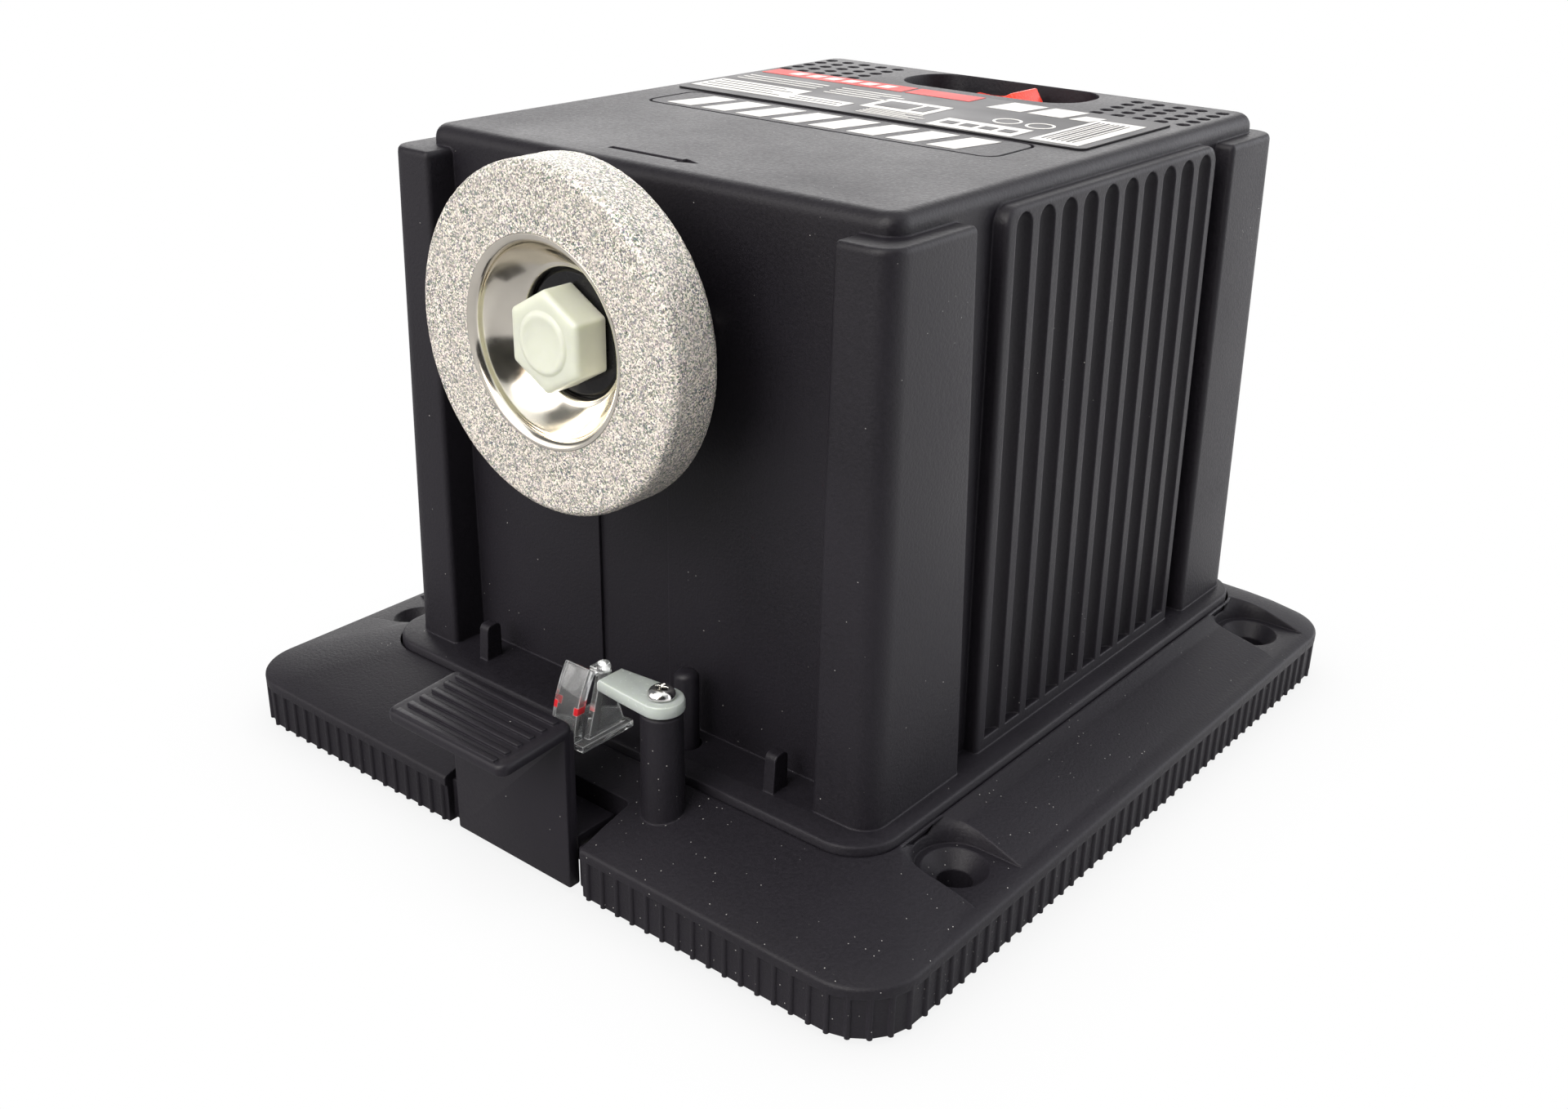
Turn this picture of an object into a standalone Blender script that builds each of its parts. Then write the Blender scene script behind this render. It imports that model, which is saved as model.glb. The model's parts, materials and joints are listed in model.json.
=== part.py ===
"""Small mains bench sharpener: a motor housing on a ribbed base, with a bare diamond wheel.

The origin is the centre of the base on the ground, +Z is up and the wheel faces -Y.
"""
import math

import bmesh
import bpy
from mathutils import Matrix, Vector

MM = 0.001
GAP = 0.3 * MM

# Base frame
BASE_X = 70.0 * MM
BASE_Y = 73.6 * MM
BASE_CORNER = 10.0 * MM
BASE_BOTTOM = 0.8 * MM
RIDGE_Z = 9.4 * MM
RIB_TOP = 8.0 * MM
RIB_PROUD = 0.65 * MM
RIB_PITCH = 3.0 * MM
RIB_WIDTH = 1.6 * MM
DECK_Z = 13.6 * MM
SKIRT = 2.6 * MM
FOOT_PLAN = (-53.7 * MM, 53.7 * MM, -54.7 * MM, 66.2 * MM)
FOOT_CORNER = 8.0 * MM
FOOT_BOTTOM = 12.0 * MM
FOOT_TOP = 15.0 * MM
OPENING = (-49.5 * MM, 49.5 * MM, -51.5 * MM, 61.5 * MM)
OPENING_WALL = 2.5 * MM
HOLE_X = 60.4 * MM
HOLE_Y_FRONT = -41.4 * MM
HOLE_Y_BACK = 57.2 * MM
HOLE_SEAT_Z = 9.9 * MM
NOTCH_X = 15.2 * MM
NOTCH_BACK = -62.5 * MM
CHEEK_X = 18.0 * MM

# Upper housing
BODY_X = 46.0 * MM
BODY_FRONT = -43.2 * MM
BODY_BACK = 62.5 * MM
BODY_TOP = 103.5 * MM
BODY_CORNER = 3.5 * MM
EDGE_ROUND = 2.2 * MM
WALL = 2.5 * MM
DRAFT = 0.015
POST_X = 49.4 * MM
POST_INNER = 39.8 * MM
POST_FRONT = -48.5 * MM
POST_SIDE = -29.0 * MM
POST_BACK = 64.0 * MM
POST_BACK_SIDE = 47.0 * MM
POST_TOP = 100.4 * MM
POST_CORNER = 4.0 * MM
POST_EDGE = 0.9 * MM
PANEL_X = 48.5 * MM
PANEL_FRONT = -20.5 * MM
PANEL_BACK = 43.0 * MM
PANEL_TOP = 101.0 * MM
GROOVES = 10
GROOVE_PITCH = 6.1 * MM
GROOVE_WIDTH = 4.3 * MM
GROOVE_FOOT = 17.0 * MM
GROOVE_DEPTH = 1.5 * MM
VENT_RADIUS = 1.15 * MM
VENT_X = 26.0 * MM
VENT_Y = 42.2 * MM
VENT_STEP_X = 4.05 * MM
VENT_STEP_Y = 3.6 * MM
VENT_ROWS = 5
CHANNEL_LEFT = -9.8 * MM
CHANNEL_RIGHT = 5.3 * MM
CHANNEL_TOP = 96.0 * MM
CHANNEL_DEPTH = 0.6 * MM
SWITCH_Y = 52.5 * MM
RECESS_FLOOR = 99.0 * MM

# Wheel and motor, on the shaft's axis
SHAFT_Z = 81.4 * MM
SHAFT_RADIUS = 2.5 * MM
WHEEL_FRONT = -62.8 * MM
WHEEL_BACK = -53.6 * MM
WHEEL_RADIUS = 25.5 * MM
WEB_FRONT = -56.9 * MM
WEB_BACK = -55.4 * MM
MOTOR_RADIUS = 17.8 * MM
MOTOR_FRONT = -40.4 * MM
CAN_BACK = 11.6 * MM
BELL_BACK = 22.0 * MM
MOTOR_SCREW_X = 12.5 * MM
NUT_FRONT = -62.7 * MM
NUT_BACK = -56.3 * MM
NUT_CORNER = 7.7 * MM

# Thumb lever
LEVER_X = 12.7 * MM
LEVER_PLATE_Y = -73.4 * MM
LEVER_PLATE = 2.2 * MM
LEVER_TOP = 28.9 * MM
PAD_FRONT = -85.0 * MM
LEVER_PIN_Y = -67.6 * MM
LEVER_PIN_Z = 5.2 * MM

# Sighting gauge
GAUGE_X = 20.5 * MM
GAUGE_Y = -61.0 * MM
GAUGE_POST_TOP = 29.6 * MM
GAUGE_POST_RADIUS = 3.4 * MM
ARM_BOTTOM = 29.9 * MM
ARM_TOP = 32.0 * MM
ARM_HALF = 3.5 * MM
ARM_REACH = 10.7 * MM

# Interlock plunger
PLUNGER_X = 13.0 * MM
PLUNGER_Y = -47.5 * MM

# Switch rocker
ROCKER_PIVOT_Z = 98.0 * MM
ROCKER_TILT = math.radians(10.0)

# Cord
CORD_X = -5.0 * MM
CORD_Z = 5.0 * MM
CORD_RADIUS = 2.4 * MM
RELIEF_RADIUS = 3.3 * MM

BLACK = (0.030, 0.030, 0.033)


# ---------------------------------------------------------------- helpers

def clear_scene():
    for obj in list(bpy.data.objects):
        bpy.data.objects.remove(obj, do_unlink=True)


def make_collection(name):
    collection = bpy.data.collections.new(name)
    bpy.context.scene.collection.children.link(collection)
    return collection


def make_material(name, colour, roughness, metallic=0.0):
    material = bpy.data.materials.new(name)
    material.use_nodes = True
    shader = material.node_tree.nodes["Principled BSDF"]
    shader.inputs["Base Color"].default_value = (*colour, 1.0)
    shader.inputs["Roughness"].default_value = roughness
    shader.inputs["Metallic"].default_value = metallic
    material.diffuse_color = (*colour, 1.0)
    return material


def add_object(name, mesh, material=None):
    obj = bpy.data.objects.new(name, mesh)
    if material is None:
        TOOLS.objects.link(obj)
        obj.hide_render = True
        obj.display_type = "WIRE"
    else:
        PARTS.objects.link(obj)
        mesh.materials.append(material)
    return obj


def finish_mesh(name, bm, material, smooth=True):
    bmesh.ops.recalc_face_normals(bm, faces=bm.faces)
    mesh = bpy.data.meshes.new(name)
    bm.to_mesh(mesh)
    bm.free()
    if smooth:
        mesh.shade_smooth()
        mesh.set_sharp_from_angle(angle=math.radians(35.0))
    return add_object(name, mesh, material)


def box(name, low, high, material=None, bevel=0.0):
    bm = bmesh.new()
    bmesh.ops.create_cube(bm, size=1.0)
    low = Vector(low)
    high = Vector(high)
    size = high - low
    bmesh.ops.scale(bm, vec=size, verts=bm.verts)
    bmesh.ops.translate(bm, vec=(low + high) / 2.0, verts=bm.verts)
    if bevel > 0.0:
        bmesh.ops.bevel(bm, geom=bm.edges, offset=bevel, segments=2, profile=0.5, affect="EDGES")
    return finish_mesh(name, bm, material)


def rod(name, start, end, radius, material=None, segments=20, end_radius=None):
    """A cylinder or cone from start to end."""
    start = Vector(start)
    end = Vector(end)
    along = end - start
    bm = bmesh.new()
    bmesh.ops.create_cone(
        bm,
        cap_ends=True,
        segments=segments,
        radius1=radius,
        radius2=radius if end_radius is None else end_radius,
        depth=along.length,
    )
    turn = along.to_track_quat("Z", "Y").to_matrix().to_4x4()
    bmesh.ops.transform(bm, matrix=Matrix.Translation((start + end) / 2.0) @ turn, verts=bm.verts)
    return finish_mesh(name, bm, material)


def rounded_plan(plan, radius, z, inset=0.0, steps=4):
    """A level rounded rectangle, counter-clockwise, as a ring of points."""
    x0, x1, y0, y1 = plan
    x0 += inset
    x1 -= inset
    y0 += inset
    y1 -= inset
    radius = max(radius - inset, 0.3 * MM)
    corners = ((x1, y1, 0.0), (x0, y1, 90.0), (x0, y0, 180.0), (x1, y0, 270.0))
    ring = []
    for x, y, start in corners:
        centre_x = x - math.copysign(radius, x - (x0 + x1) / 2.0)
        centre_y = y - math.copysign(radius, y - (y0 + y1) / 2.0)
        for step in range(steps + 1):
            angle = math.radians(start + 90.0 * step / steps)
            px = centre_x + radius * math.cos(angle)
            py = centre_y + radius * math.sin(angle)
            ring.append(Vector((px, py, z)))
    return ring


def loft(name, rings, material=None):
    """A closed solid through rings that have the same number of points."""
    bm = bmesh.new()
    rows = [[bm.verts.new(point) for point in ring] for ring in rings]
    count = len(rows[0])
    for lower, upper in zip(rows, rows[1:]):
        for i in range(count):
            j = (i + 1) % count
            bm.faces.new((lower[i], lower[j], upper[j], upper[i]))
    bm.faces.new(list(reversed(rows[0])))
    bm.faces.new(rows[-1])
    return finish_mesh(name, bm, material)


def prism(name, outline, axis, low, high, material=None, bevel=0.0):
    """An outline drawn in the plane across an axis, filled and extruded along it."""
    place = {
        "X": lambda a, b, depth: Vector((depth, a, b)),
        "Y": lambda a, b, depth: Vector((a, depth, b)),
        "Z": lambda a, b, depth: Vector((a, b, depth)),
    }[axis]
    bm = bmesh.new()
    face = bm.faces.new([bm.verts.new(place(a, b, low)) for a, b in outline])
    grown = bmesh.ops.extrude_face_region(bm, geom=[face])
    moved = [item for item in grown["geom"] if isinstance(item, bmesh.types.BMVert)]
    bmesh.ops.translate(bm, vec=place(0.0, 0.0, high - low), verts=moved)
    if bevel > 0.0:
        bmesh.ops.recalc_face_normals(bm, faces=bm.faces)
        bmesh.ops.bevel(bm, geom=bm.edges, offset=bevel, segments=1, affect="EDGES")
    return finish_mesh(name, bm, material)


def turned(name, profile, location, material=None, steps=32, facing="Z", open_ends=False):
    """A Screw of a profile of (radius, height) points that runs down its outer side.

    A profile that touches the axis at both ends stays open, any other is closed into a ring.
    facing "Y" lays the local +Z along world -Y, as on the motor's shaft.
    """
    mesh = bpy.data.meshes.new(name)
    bm = bmesh.new()
    verts = [bm.verts.new((radius, 0.0, height)) for radius, height in profile]
    for first, second in zip(verts, verts[1:]):
        bm.edges.new((first, second))
    if not open_ends:
        bm.edges.new((verts[-1], verts[0]))
    bm.to_mesh(mesh)
    bm.free()
    obj = add_object(name, mesh, material)
    screw = obj.modifiers.new("Turn", "SCREW")
    screw.axis = "Z"
    screw.steps = steps
    screw.render_steps = steps
    screw.use_merge_vertices = True
    screw.merge_threshold = 0.001 * MM
    screw.use_smooth_shade = True
    obj.location = location
    if facing == "Y":
        obj.rotation_euler = (math.radians(90.0), 0.0, 0.0)
    return obj


def boolean(obj, other, operation="DIFFERENCE"):
    modifier = obj.modifiers.new(operation.title() + "_" + other.name, "BOOLEAN")
    modifier.operation = operation
    modifier.object = other
    modifier.solver = "EXACT"


def cut(obj, *others):
    for other in others:
        boolean(obj, other, "DIFFERENCE")


def join(obj, *others):
    for other in others:
        boolean(obj, other, "UNION")


def merge_tools(name, tools):
    """One cutter from several that don't touch."""
    bm = bmesh.new()
    for tool in tools:
        bm.from_mesh(tool.data)
        bpy.data.objects.remove(tool, do_unlink=True)
    return finish_mesh(name, bm, None, smooth=False)


def arc_points(centre, radius, start, end, steps):
    points = []
    for step in range(steps + 1):
        angle = math.radians(start + (end - start) * step / steps)
        points.append((centre[0] + radius * math.cos(angle), centre[1] + radius * math.sin(angle)))
    return points


def coil(name, start, end, radius, wire, turns, material, steps=10):
    """A compression spring from start to end."""
    start = Vector(start)
    end = Vector(end)
    along = end - start
    turn = along.to_track_quat("Z", "Y")
    curve = bpy.data.curves.new(name, "CURVE")
    curve.dimensions = "3D"
    curve.bevel_depth = wire
    curve.bevel_resolution = 1
    curve.use_fill_caps = True
    spline = curve.splines.new("POLY")
    count = turns * steps + 1
    spline.points.add(count - 1)
    for i in range(count):
        angle = math.tau * i / steps
        local = Vector((radius * math.cos(angle), radius * math.sin(angle), 0.0))
        local.z = wire + (along.length - 2.0 * wire) * i / (count - 1)
        spline.points[i].co = (*(start + turn @ local), 1.0)
    return curve_to_mesh(name, curve, material)


def tube(name, points, radius, material, resolution=2):
    """A cable or wire through points, with closed ends."""
    curve = bpy.data.curves.new(name, "CURVE")
    curve.dimensions = "3D"
    curve.bevel_depth = radius
    curve.bevel_resolution = resolution
    curve.use_fill_caps = True
    spline = curve.splines.new("POLY")
    spline.points.add(len(points) - 1)
    for target, point in zip(spline.points, points):
        target.co = (*point, 1.0)
    return curve_to_mesh(name, curve, material)


def curve_to_mesh(name, curve, material):
    guide = bpy.data.objects.new(name + "_guide", curve)
    PARTS.objects.link(guide)
    bpy.context.view_layer.update()
    evaluated = guide.evaluated_get(bpy.context.evaluated_depsgraph_get())
    mesh = bpy.data.meshes.new_from_object(evaluated)
    mesh.name = name
    mesh.materials.clear()
    bm = bmesh.new()
    bm.from_mesh(mesh)
    bmesh.ops.remove_doubles(bm, verts=bm.verts, dist=0.002 * MM)
    bmesh.ops.recalc_face_normals(bm, faces=bm.faces)
    bm.to_mesh(mesh)
    bm.free()
    mesh.shade_smooth()
    obj = add_object(name, mesh, material)
    obj.matrix_world = guide.matrix_world
    bpy.data.objects.remove(guide, do_unlink=True)
    return obj


def smooth_path(points, steps):
    """Points on a Catmull-Rom curve through the given ones."""
    points = [Vector(point) for point in points]
    padded = [2.0 * points[0] - points[1]] + points + [2.0 * points[-1] - points[-2]]
    path = []
    for i in range(1, len(padded) - 2):
        before, here, after, beyond = padded[i - 1:i + 3]
        for step in range(steps):
            t = step / steps
            term = 2.0 * here + (after - before) * t
            term += (2.0 * before - 5.0 * here + 4.0 * after - beyond) * t * t
            term += (3.0 * here - before - 3.0 * after + beyond) * t * t * t
            path.append(0.5 * term)
    path.append(points[-1])
    return path


def centre_origin(obj, point):
    """Put an object's origin on its joint's axis without moving its mesh."""
    point = Vector(point)
    obj.data.transform(Matrix.Translation(-point))
    obj.location = obj.location + point


# ---------------------------------------------------------------- base

def side_stations(half, clear):
    """Evenly pitched rib centres along one side, kept off its corners."""
    count = int((2.0 * (half - clear)) / RIB_PITCH)
    first = -count * RIB_PITCH / 2.0
    return [first + i * RIB_PITCH for i in range(count + 1)]


def ribbed_outline():
    """The skirt's outline with a small raised bead at each rib."""
    wall_x = BASE_X - RIB_PROUD - 0.05 * MM
    wall_y = BASE_Y - RIB_PROUD - 0.05 * MM
    radius = BASE_CORNER - RIB_PROUD
    half = RIB_WIDTH / 2.0
    bead = ((-half, 0.0), (0.0, RIB_PROUD), (half, 0.0))
    outline = []
    long_side = side_stations(BASE_Y, BASE_CORNER + RIB_PROUD)
    short_side = side_stations(BASE_X, BASE_CORNER + RIB_PROUD)
    corner_angles = [90.0 * (i + 0.5) / 5.0 for i in range(5)]
    sides = (
        (long_side, lambda s, h: (wall_x + h, s)),
        (short_side, lambda s, h: (-s, wall_y + h)),
        (long_side, lambda s, h: (-wall_x - h, -s)),
        (short_side, lambda s, h: (s, -wall_y - h)),
    )
    for index, (stations, place) in enumerate(sides):
        for station in stations:
            for offset, height in bead:
                outline.append(place(station + offset, height))
        sign_x = (1.0, -1.0, -1.0, 1.0)[index]
        sign_y = (1.0, 1.0, -1.0, -1.0)[index]
        centre = (sign_x * (wall_x - radius), sign_y * (wall_y - radius))
        for angle in corner_angles:
            centre_angle = math.radians(angle + 90.0 * index)
            for offset, height in bead:
                bend = centre_angle + offset / radius
                reach = radius + height
                outline.append((centre[0] + reach * math.cos(bend), centre[1] + reach * math.sin(bend)))
    return outline


def hole_places():
    return [(sx * HOLE_X, y) for sx in (-1.0, 1.0) for y in (HOLE_Y_FRONT, HOLE_Y_BACK)]


def corner_screw_tools(x, y):
    """The bore, the countersink and the flat seat that runs out to the base's side."""
    bore = rod("bore", (x, y, -MM), (x, y, 20.0 * MM), 2.7 * MM, segments=16)
    sink = rod(
        "sink",
        (x, y, HOLE_SEAT_Z - 2.3 * MM),
        (x, y, HOLE_SEAT_Z + 0.3 * MM),
        2.7 * MM,
        segments=20,
        end_radius=5.3 * MM,
    )
    out = math.copysign(14.0 * MM, x)
    outline = arc_points((0.0, 0.0), 6.3 * MM, 90.0, 270.0, 10)
    outline += [(14.0 * MM, -6.3 * MM), (14.0 * MM, 6.3 * MM)]
    placed = [(x + a * math.copysign(1.0, out), y + b) for a, b in outline]
    seat = prism("seat", placed, "Z", HOLE_SEAT_Z, 20.0 * MM)
    return bore, sink, seat


def build_base():
    plan = (-BASE_X, BASE_X, -BASE_Y, BASE_Y)
    deck = (FOOT_PLAN[0] - GAP, FOOT_PLAN[1] + GAP, FOOT_PLAN[2] - GAP, FOOT_PLAN[3] + GAP)
    base = loft(
        "base_plate",
        [
            rounded_plan(plan, BASE_CORNER, RIB_TOP - 0.4 * MM),
            rounded_plan(plan, BASE_CORNER, RIDGE_Z - 0.4 * MM),
            rounded_plan(plan, BASE_CORNER, RIDGE_Z, inset=0.5 * MM),
            rounded_plan(deck, FOOT_CORNER, DECK_Z),
        ],
        MATERIALS["base"],
    )
    ribs = prism("rib_band", ribbed_outline(), "Z", BASE_BOTTOM, RIB_TOP)
    join(base, ribs)

    skirt_inside = tuple(math.copysign(abs(v) - SKIRT - RIB_PROUD, v) for v in plan)
    hollow = loft(
        "under_hollow",
        [
            rounded_plan(skirt_inside, 7.0 * MM, -MM),
            rounded_plan(skirt_inside, 7.0 * MM, 6.6 * MM),
        ],
    )
    wall_plan = (
        OPENING[0] - OPENING_WALL,
        OPENING[1] + OPENING_WALL,
        OPENING[2] - OPENING_WALL,
        OPENING[3] + OPENING_WALL,
    )
    keep = loft(
        "opening_wall",
        [rounded_plan(wall_plan, 6.0 * MM, -2.0 * MM), rounded_plan(wall_plan, 6.0 * MM, 9.0 * MM)],
    )
    cheeks = box("cheeks", (-CHEEK_X, -80.0 * MM, -2.0 * MM), (CHEEK_X, -52.0 * MM, 9.0 * MM))
    cut(hollow, keep, cheeks)
    for index, (x, y) in enumerate(hole_places()):
        boss = rod(f"boss_{index}", (x, y, -2.0 * MM), (x, y, 9.0 * MM), 4.6 * MM, segments=16)
        cut(hollow, boss)
    relief_block = box(
        "relief_block",
        (-11.0 * MM, 60.0 * MM, -2.0 * MM),
        (1.0 * MM, 80.0 * MM, 9.0 * MM),
    )
    cut(hollow, relief_block)
    cut(base, hollow)

    pocket = loft(
        "foot_pocket",
        [
            rounded_plan(deck, FOOT_CORNER, FOOT_BOTTOM - GAP),
            rounded_plan(deck, FOOT_CORNER, 20.0 * MM),
        ],
    )
    opening = loft(
        "opening",
        [rounded_plan(OPENING, 4.0 * MM, -2.0 * MM), rounded_plan(OPENING, 4.0 * MM, 16.0 * MM)],
    )
    notch = box("notch", (-NOTCH_X, -80.0 * MM, -2.0 * MM), (NOTCH_X, NOTCH_BACK, 20.0 * MM))
    pin_bore = rod(
        "pin_bore",
        (-17.0 * MM, LEVER_PIN_Y, LEVER_PIN_Z),
        (17.0 * MM, LEVER_PIN_Y, LEVER_PIN_Z),
        1.3 * MM,
        segments=12,
    )
    relief_bore = rod(
        "relief_bore",
        (CORD_X, 60.0 * MM, CORD_Z),
        (CORD_X, 80.0 * MM, CORD_Z),
        RELIEF_RADIUS + GAP,
        segments=20,
    )
    gauge_post = rod(
        "gauge_post",
        (GAUGE_X, GAUGE_Y, 9.0 * MM),
        (GAUGE_X, GAUGE_Y, GAUGE_POST_TOP),
        GAUGE_POST_RADIUS,
        segments=24,
        end_radius=GAUGE_POST_RADIUS - 0.2 * MM,
    )
    gauge_bore = rod(
        "gauge_bore",
        (GAUGE_X, GAUGE_Y, 20.0 * MM),
        (GAUGE_X, GAUGE_Y, 35.0 * MM),
        1.5 * MM,
        segments=12,
    )
    cut(base, pocket, opening, notch, pin_bore, relief_bore)
    join(base, gauge_post)
    cut(base, gauge_bore)
    for index, (x, y) in enumerate(hole_places()):
        tools = corner_screw_tools(x, y)
        for tool in tools:
            tool.name = f"{tool.name}_{index}"
        cut(base, *tools)
    return base


# ---------------------------------------------------------------- housing

def corner_plan(plan, radii, z, inset, steps=3):
    """A level rectangle whose corners are rounded one by one, as a ring of points."""
    x0, x1, y0, y1 = plan
    corners = (
        (x1 - inset, y1 - inset, 0.0),
        (x0 + inset, y1 - inset, 90.0),
        (x0 + inset, y0 + inset, 180.0),
        (x1 - inset, y0 + inset, 270.0),
    )
    ring = []
    for (x, y, start), full in zip(corners, radii):
        radius = max(full - inset, 0.3 * MM)
        centre_x = x - math.copysign(radius, x - (x0 + x1) / 2.0)
        centre_y = y - math.copysign(radius, y - (y0 + y1) / 2.0)
        for step in range(steps + 1):
            angle = math.radians(start + 90.0 * step / steps)
            px = centre_x + radius * math.cos(angle)
            py = centre_y + radius * math.sin(angle)
            ring.append(Vector((px, py, z)))
    return ring


def post_rings(x0, x1, y0, y1, grow_front, grow_back, at_front):
    """A corner post: it widens towards its foot and is round on its outer corner only."""
    spread = DRAFT * (POST_TOP - FOOT_TOP)
    side = math.copysign(1.0, x1)
    round_at = {(1.0, False): 0, (-1.0, False): 1, (-1.0, True): 2, (1.0, True): 3}[(side, at_front)]
    radii = [POST_CORNER if corner == round_at else POST_EDGE for corner in range(4)]
    rings = []
    levels = (
        (FOOT_BOTTOM + MM, 1.0, 0.0),
        (POST_TOP - 1.2 * MM, 0.0, 0.0),
        (POST_TOP - 0.3 * MM, 0.0, 0.35 * MM),
        (POST_TOP, 0.0, 1.2 * MM),
    )
    for z, share, inset in levels:
        outer = x1 + side * spread * share
        front = y0 - grow_front * spread * share
        back = y1 + grow_back * spread * share
        low_x = min(x0, outer)
        high_x = max(x0, outer)
        rings.append(corner_plan((low_x, high_x, front, back), radii, z, inset))
    return rings


def side_panel(side):
    """The raised side panel with rounded upper corners, and its groove cutters."""
    top_x = PANEL_X
    foot_x = PANEL_X + DRAFT * (PANEL_TOP - FOOT_TOP)
    radius = 2.6 * MM
    base_z = FOOT_BOTTOM + 1.5 * MM
    outline = [(PANEL_FRONT, base_z), (PANEL_BACK, base_z)]
    outline += arc_points((PANEL_BACK - radius, PANEL_TOP - radius), radius, 0.0, 90.0, 4)
    outline += arc_points((PANEL_FRONT + radius, PANEL_TOP - radius), radius, 90.0, 180.0, 4)
    slope = (foot_x - top_x) / (PANEL_TOP - base_z)

    def outer(z):
        return top_x + slope * (PANEL_TOP - z)

    inner_x = BODY_X - 2.0 * MM
    rings = []
    for drop, inset in ((None, 0.0), (0.8 * MM, 0.0), (0.0, 0.8 * MM)):
        ring = []
        for y, z in outline:
            middle_y = (PANEL_FRONT + PANEL_BACK) / 2.0
            middle_z = (PANEL_TOP + base_z) / 2.0
            near_y = y - math.copysign(inset, y - middle_y)
            near_z = z - inset if z > middle_z else z
            x = inner_x if drop is None else outer(z) - drop
            ring.append(Vector((side * x, near_y, near_z)))
        rings.append(ring)
    panel = loft(f"panel_{'right' if side > 0 else 'left'}", rings)

    cutters = []
    middle = (PANEL_FRONT + PANEL_BACK) / 2.0
    half = GROOVE_WIDTH / 2.0
    for index in range(GROOVES):
        y = middle + (index - (GROOVES - 1) / 2.0) * GROOVE_PITCH
        slot = [(y - half, GROOVE_FOOT), (y + half, GROOVE_FOOT)]
        slot += arc_points((y, PANEL_TOP - 0.9 * MM - half), half, 0.0, 180.0, 5)
        floor_ring = [Vector((side * (outer(z) - GROOVE_DEPTH), a, z)) for a, z in slot]
        mouth_ring = [Vector((side * (outer(z) + 3.0 * MM), a, z)) for a, z in slot]
        cutters.append(loft(f"groove_{index}", [floor_ring, mouth_ring]))
    grooves = merge_tools(f"grooves_{'right' if side > 0 else 'left'}", cutters)
    return panel, grooves


def vent_tool():
    """Two square grids of small round vents."""
    cutters = []
    for side in (-1.0, 1.0):
        for column in range(VENT_ROWS):
            for row in range(VENT_ROWS):
                x = side * (VENT_X + column * VENT_STEP_X)
                y = VENT_Y + row * VENT_STEP_Y
                vent = rod("vent", (x, y, 98.0 * MM), (x, y, 106.0 * MM), VENT_RADIUS, segments=6)
                cutters.append(vent)
    return merge_tools("vents", cutters)


def switch_recess_tool():
    mouth = (-18.4 * MM, 18.4 * MM, SWITCH_Y - 8.2 * MM, SWITCH_Y + 8.0 * MM)
    floor = (-13.5 * MM, 13.5 * MM, SWITCH_Y - 7.0 * MM, SWITCH_Y + 6.8 * MM)
    return loft(
        "switch_recess",
        [
            rounded_plan(floor, 4.0 * MM, RECESS_FLOOR, steps=5),
            rounded_plan(mouth, 7.0 * MM, BODY_TOP, steps=5),
            rounded_plan(mouth, 7.0 * MM, BODY_TOP + 3.0 * MM, steps=5),
        ],
    )


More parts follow.
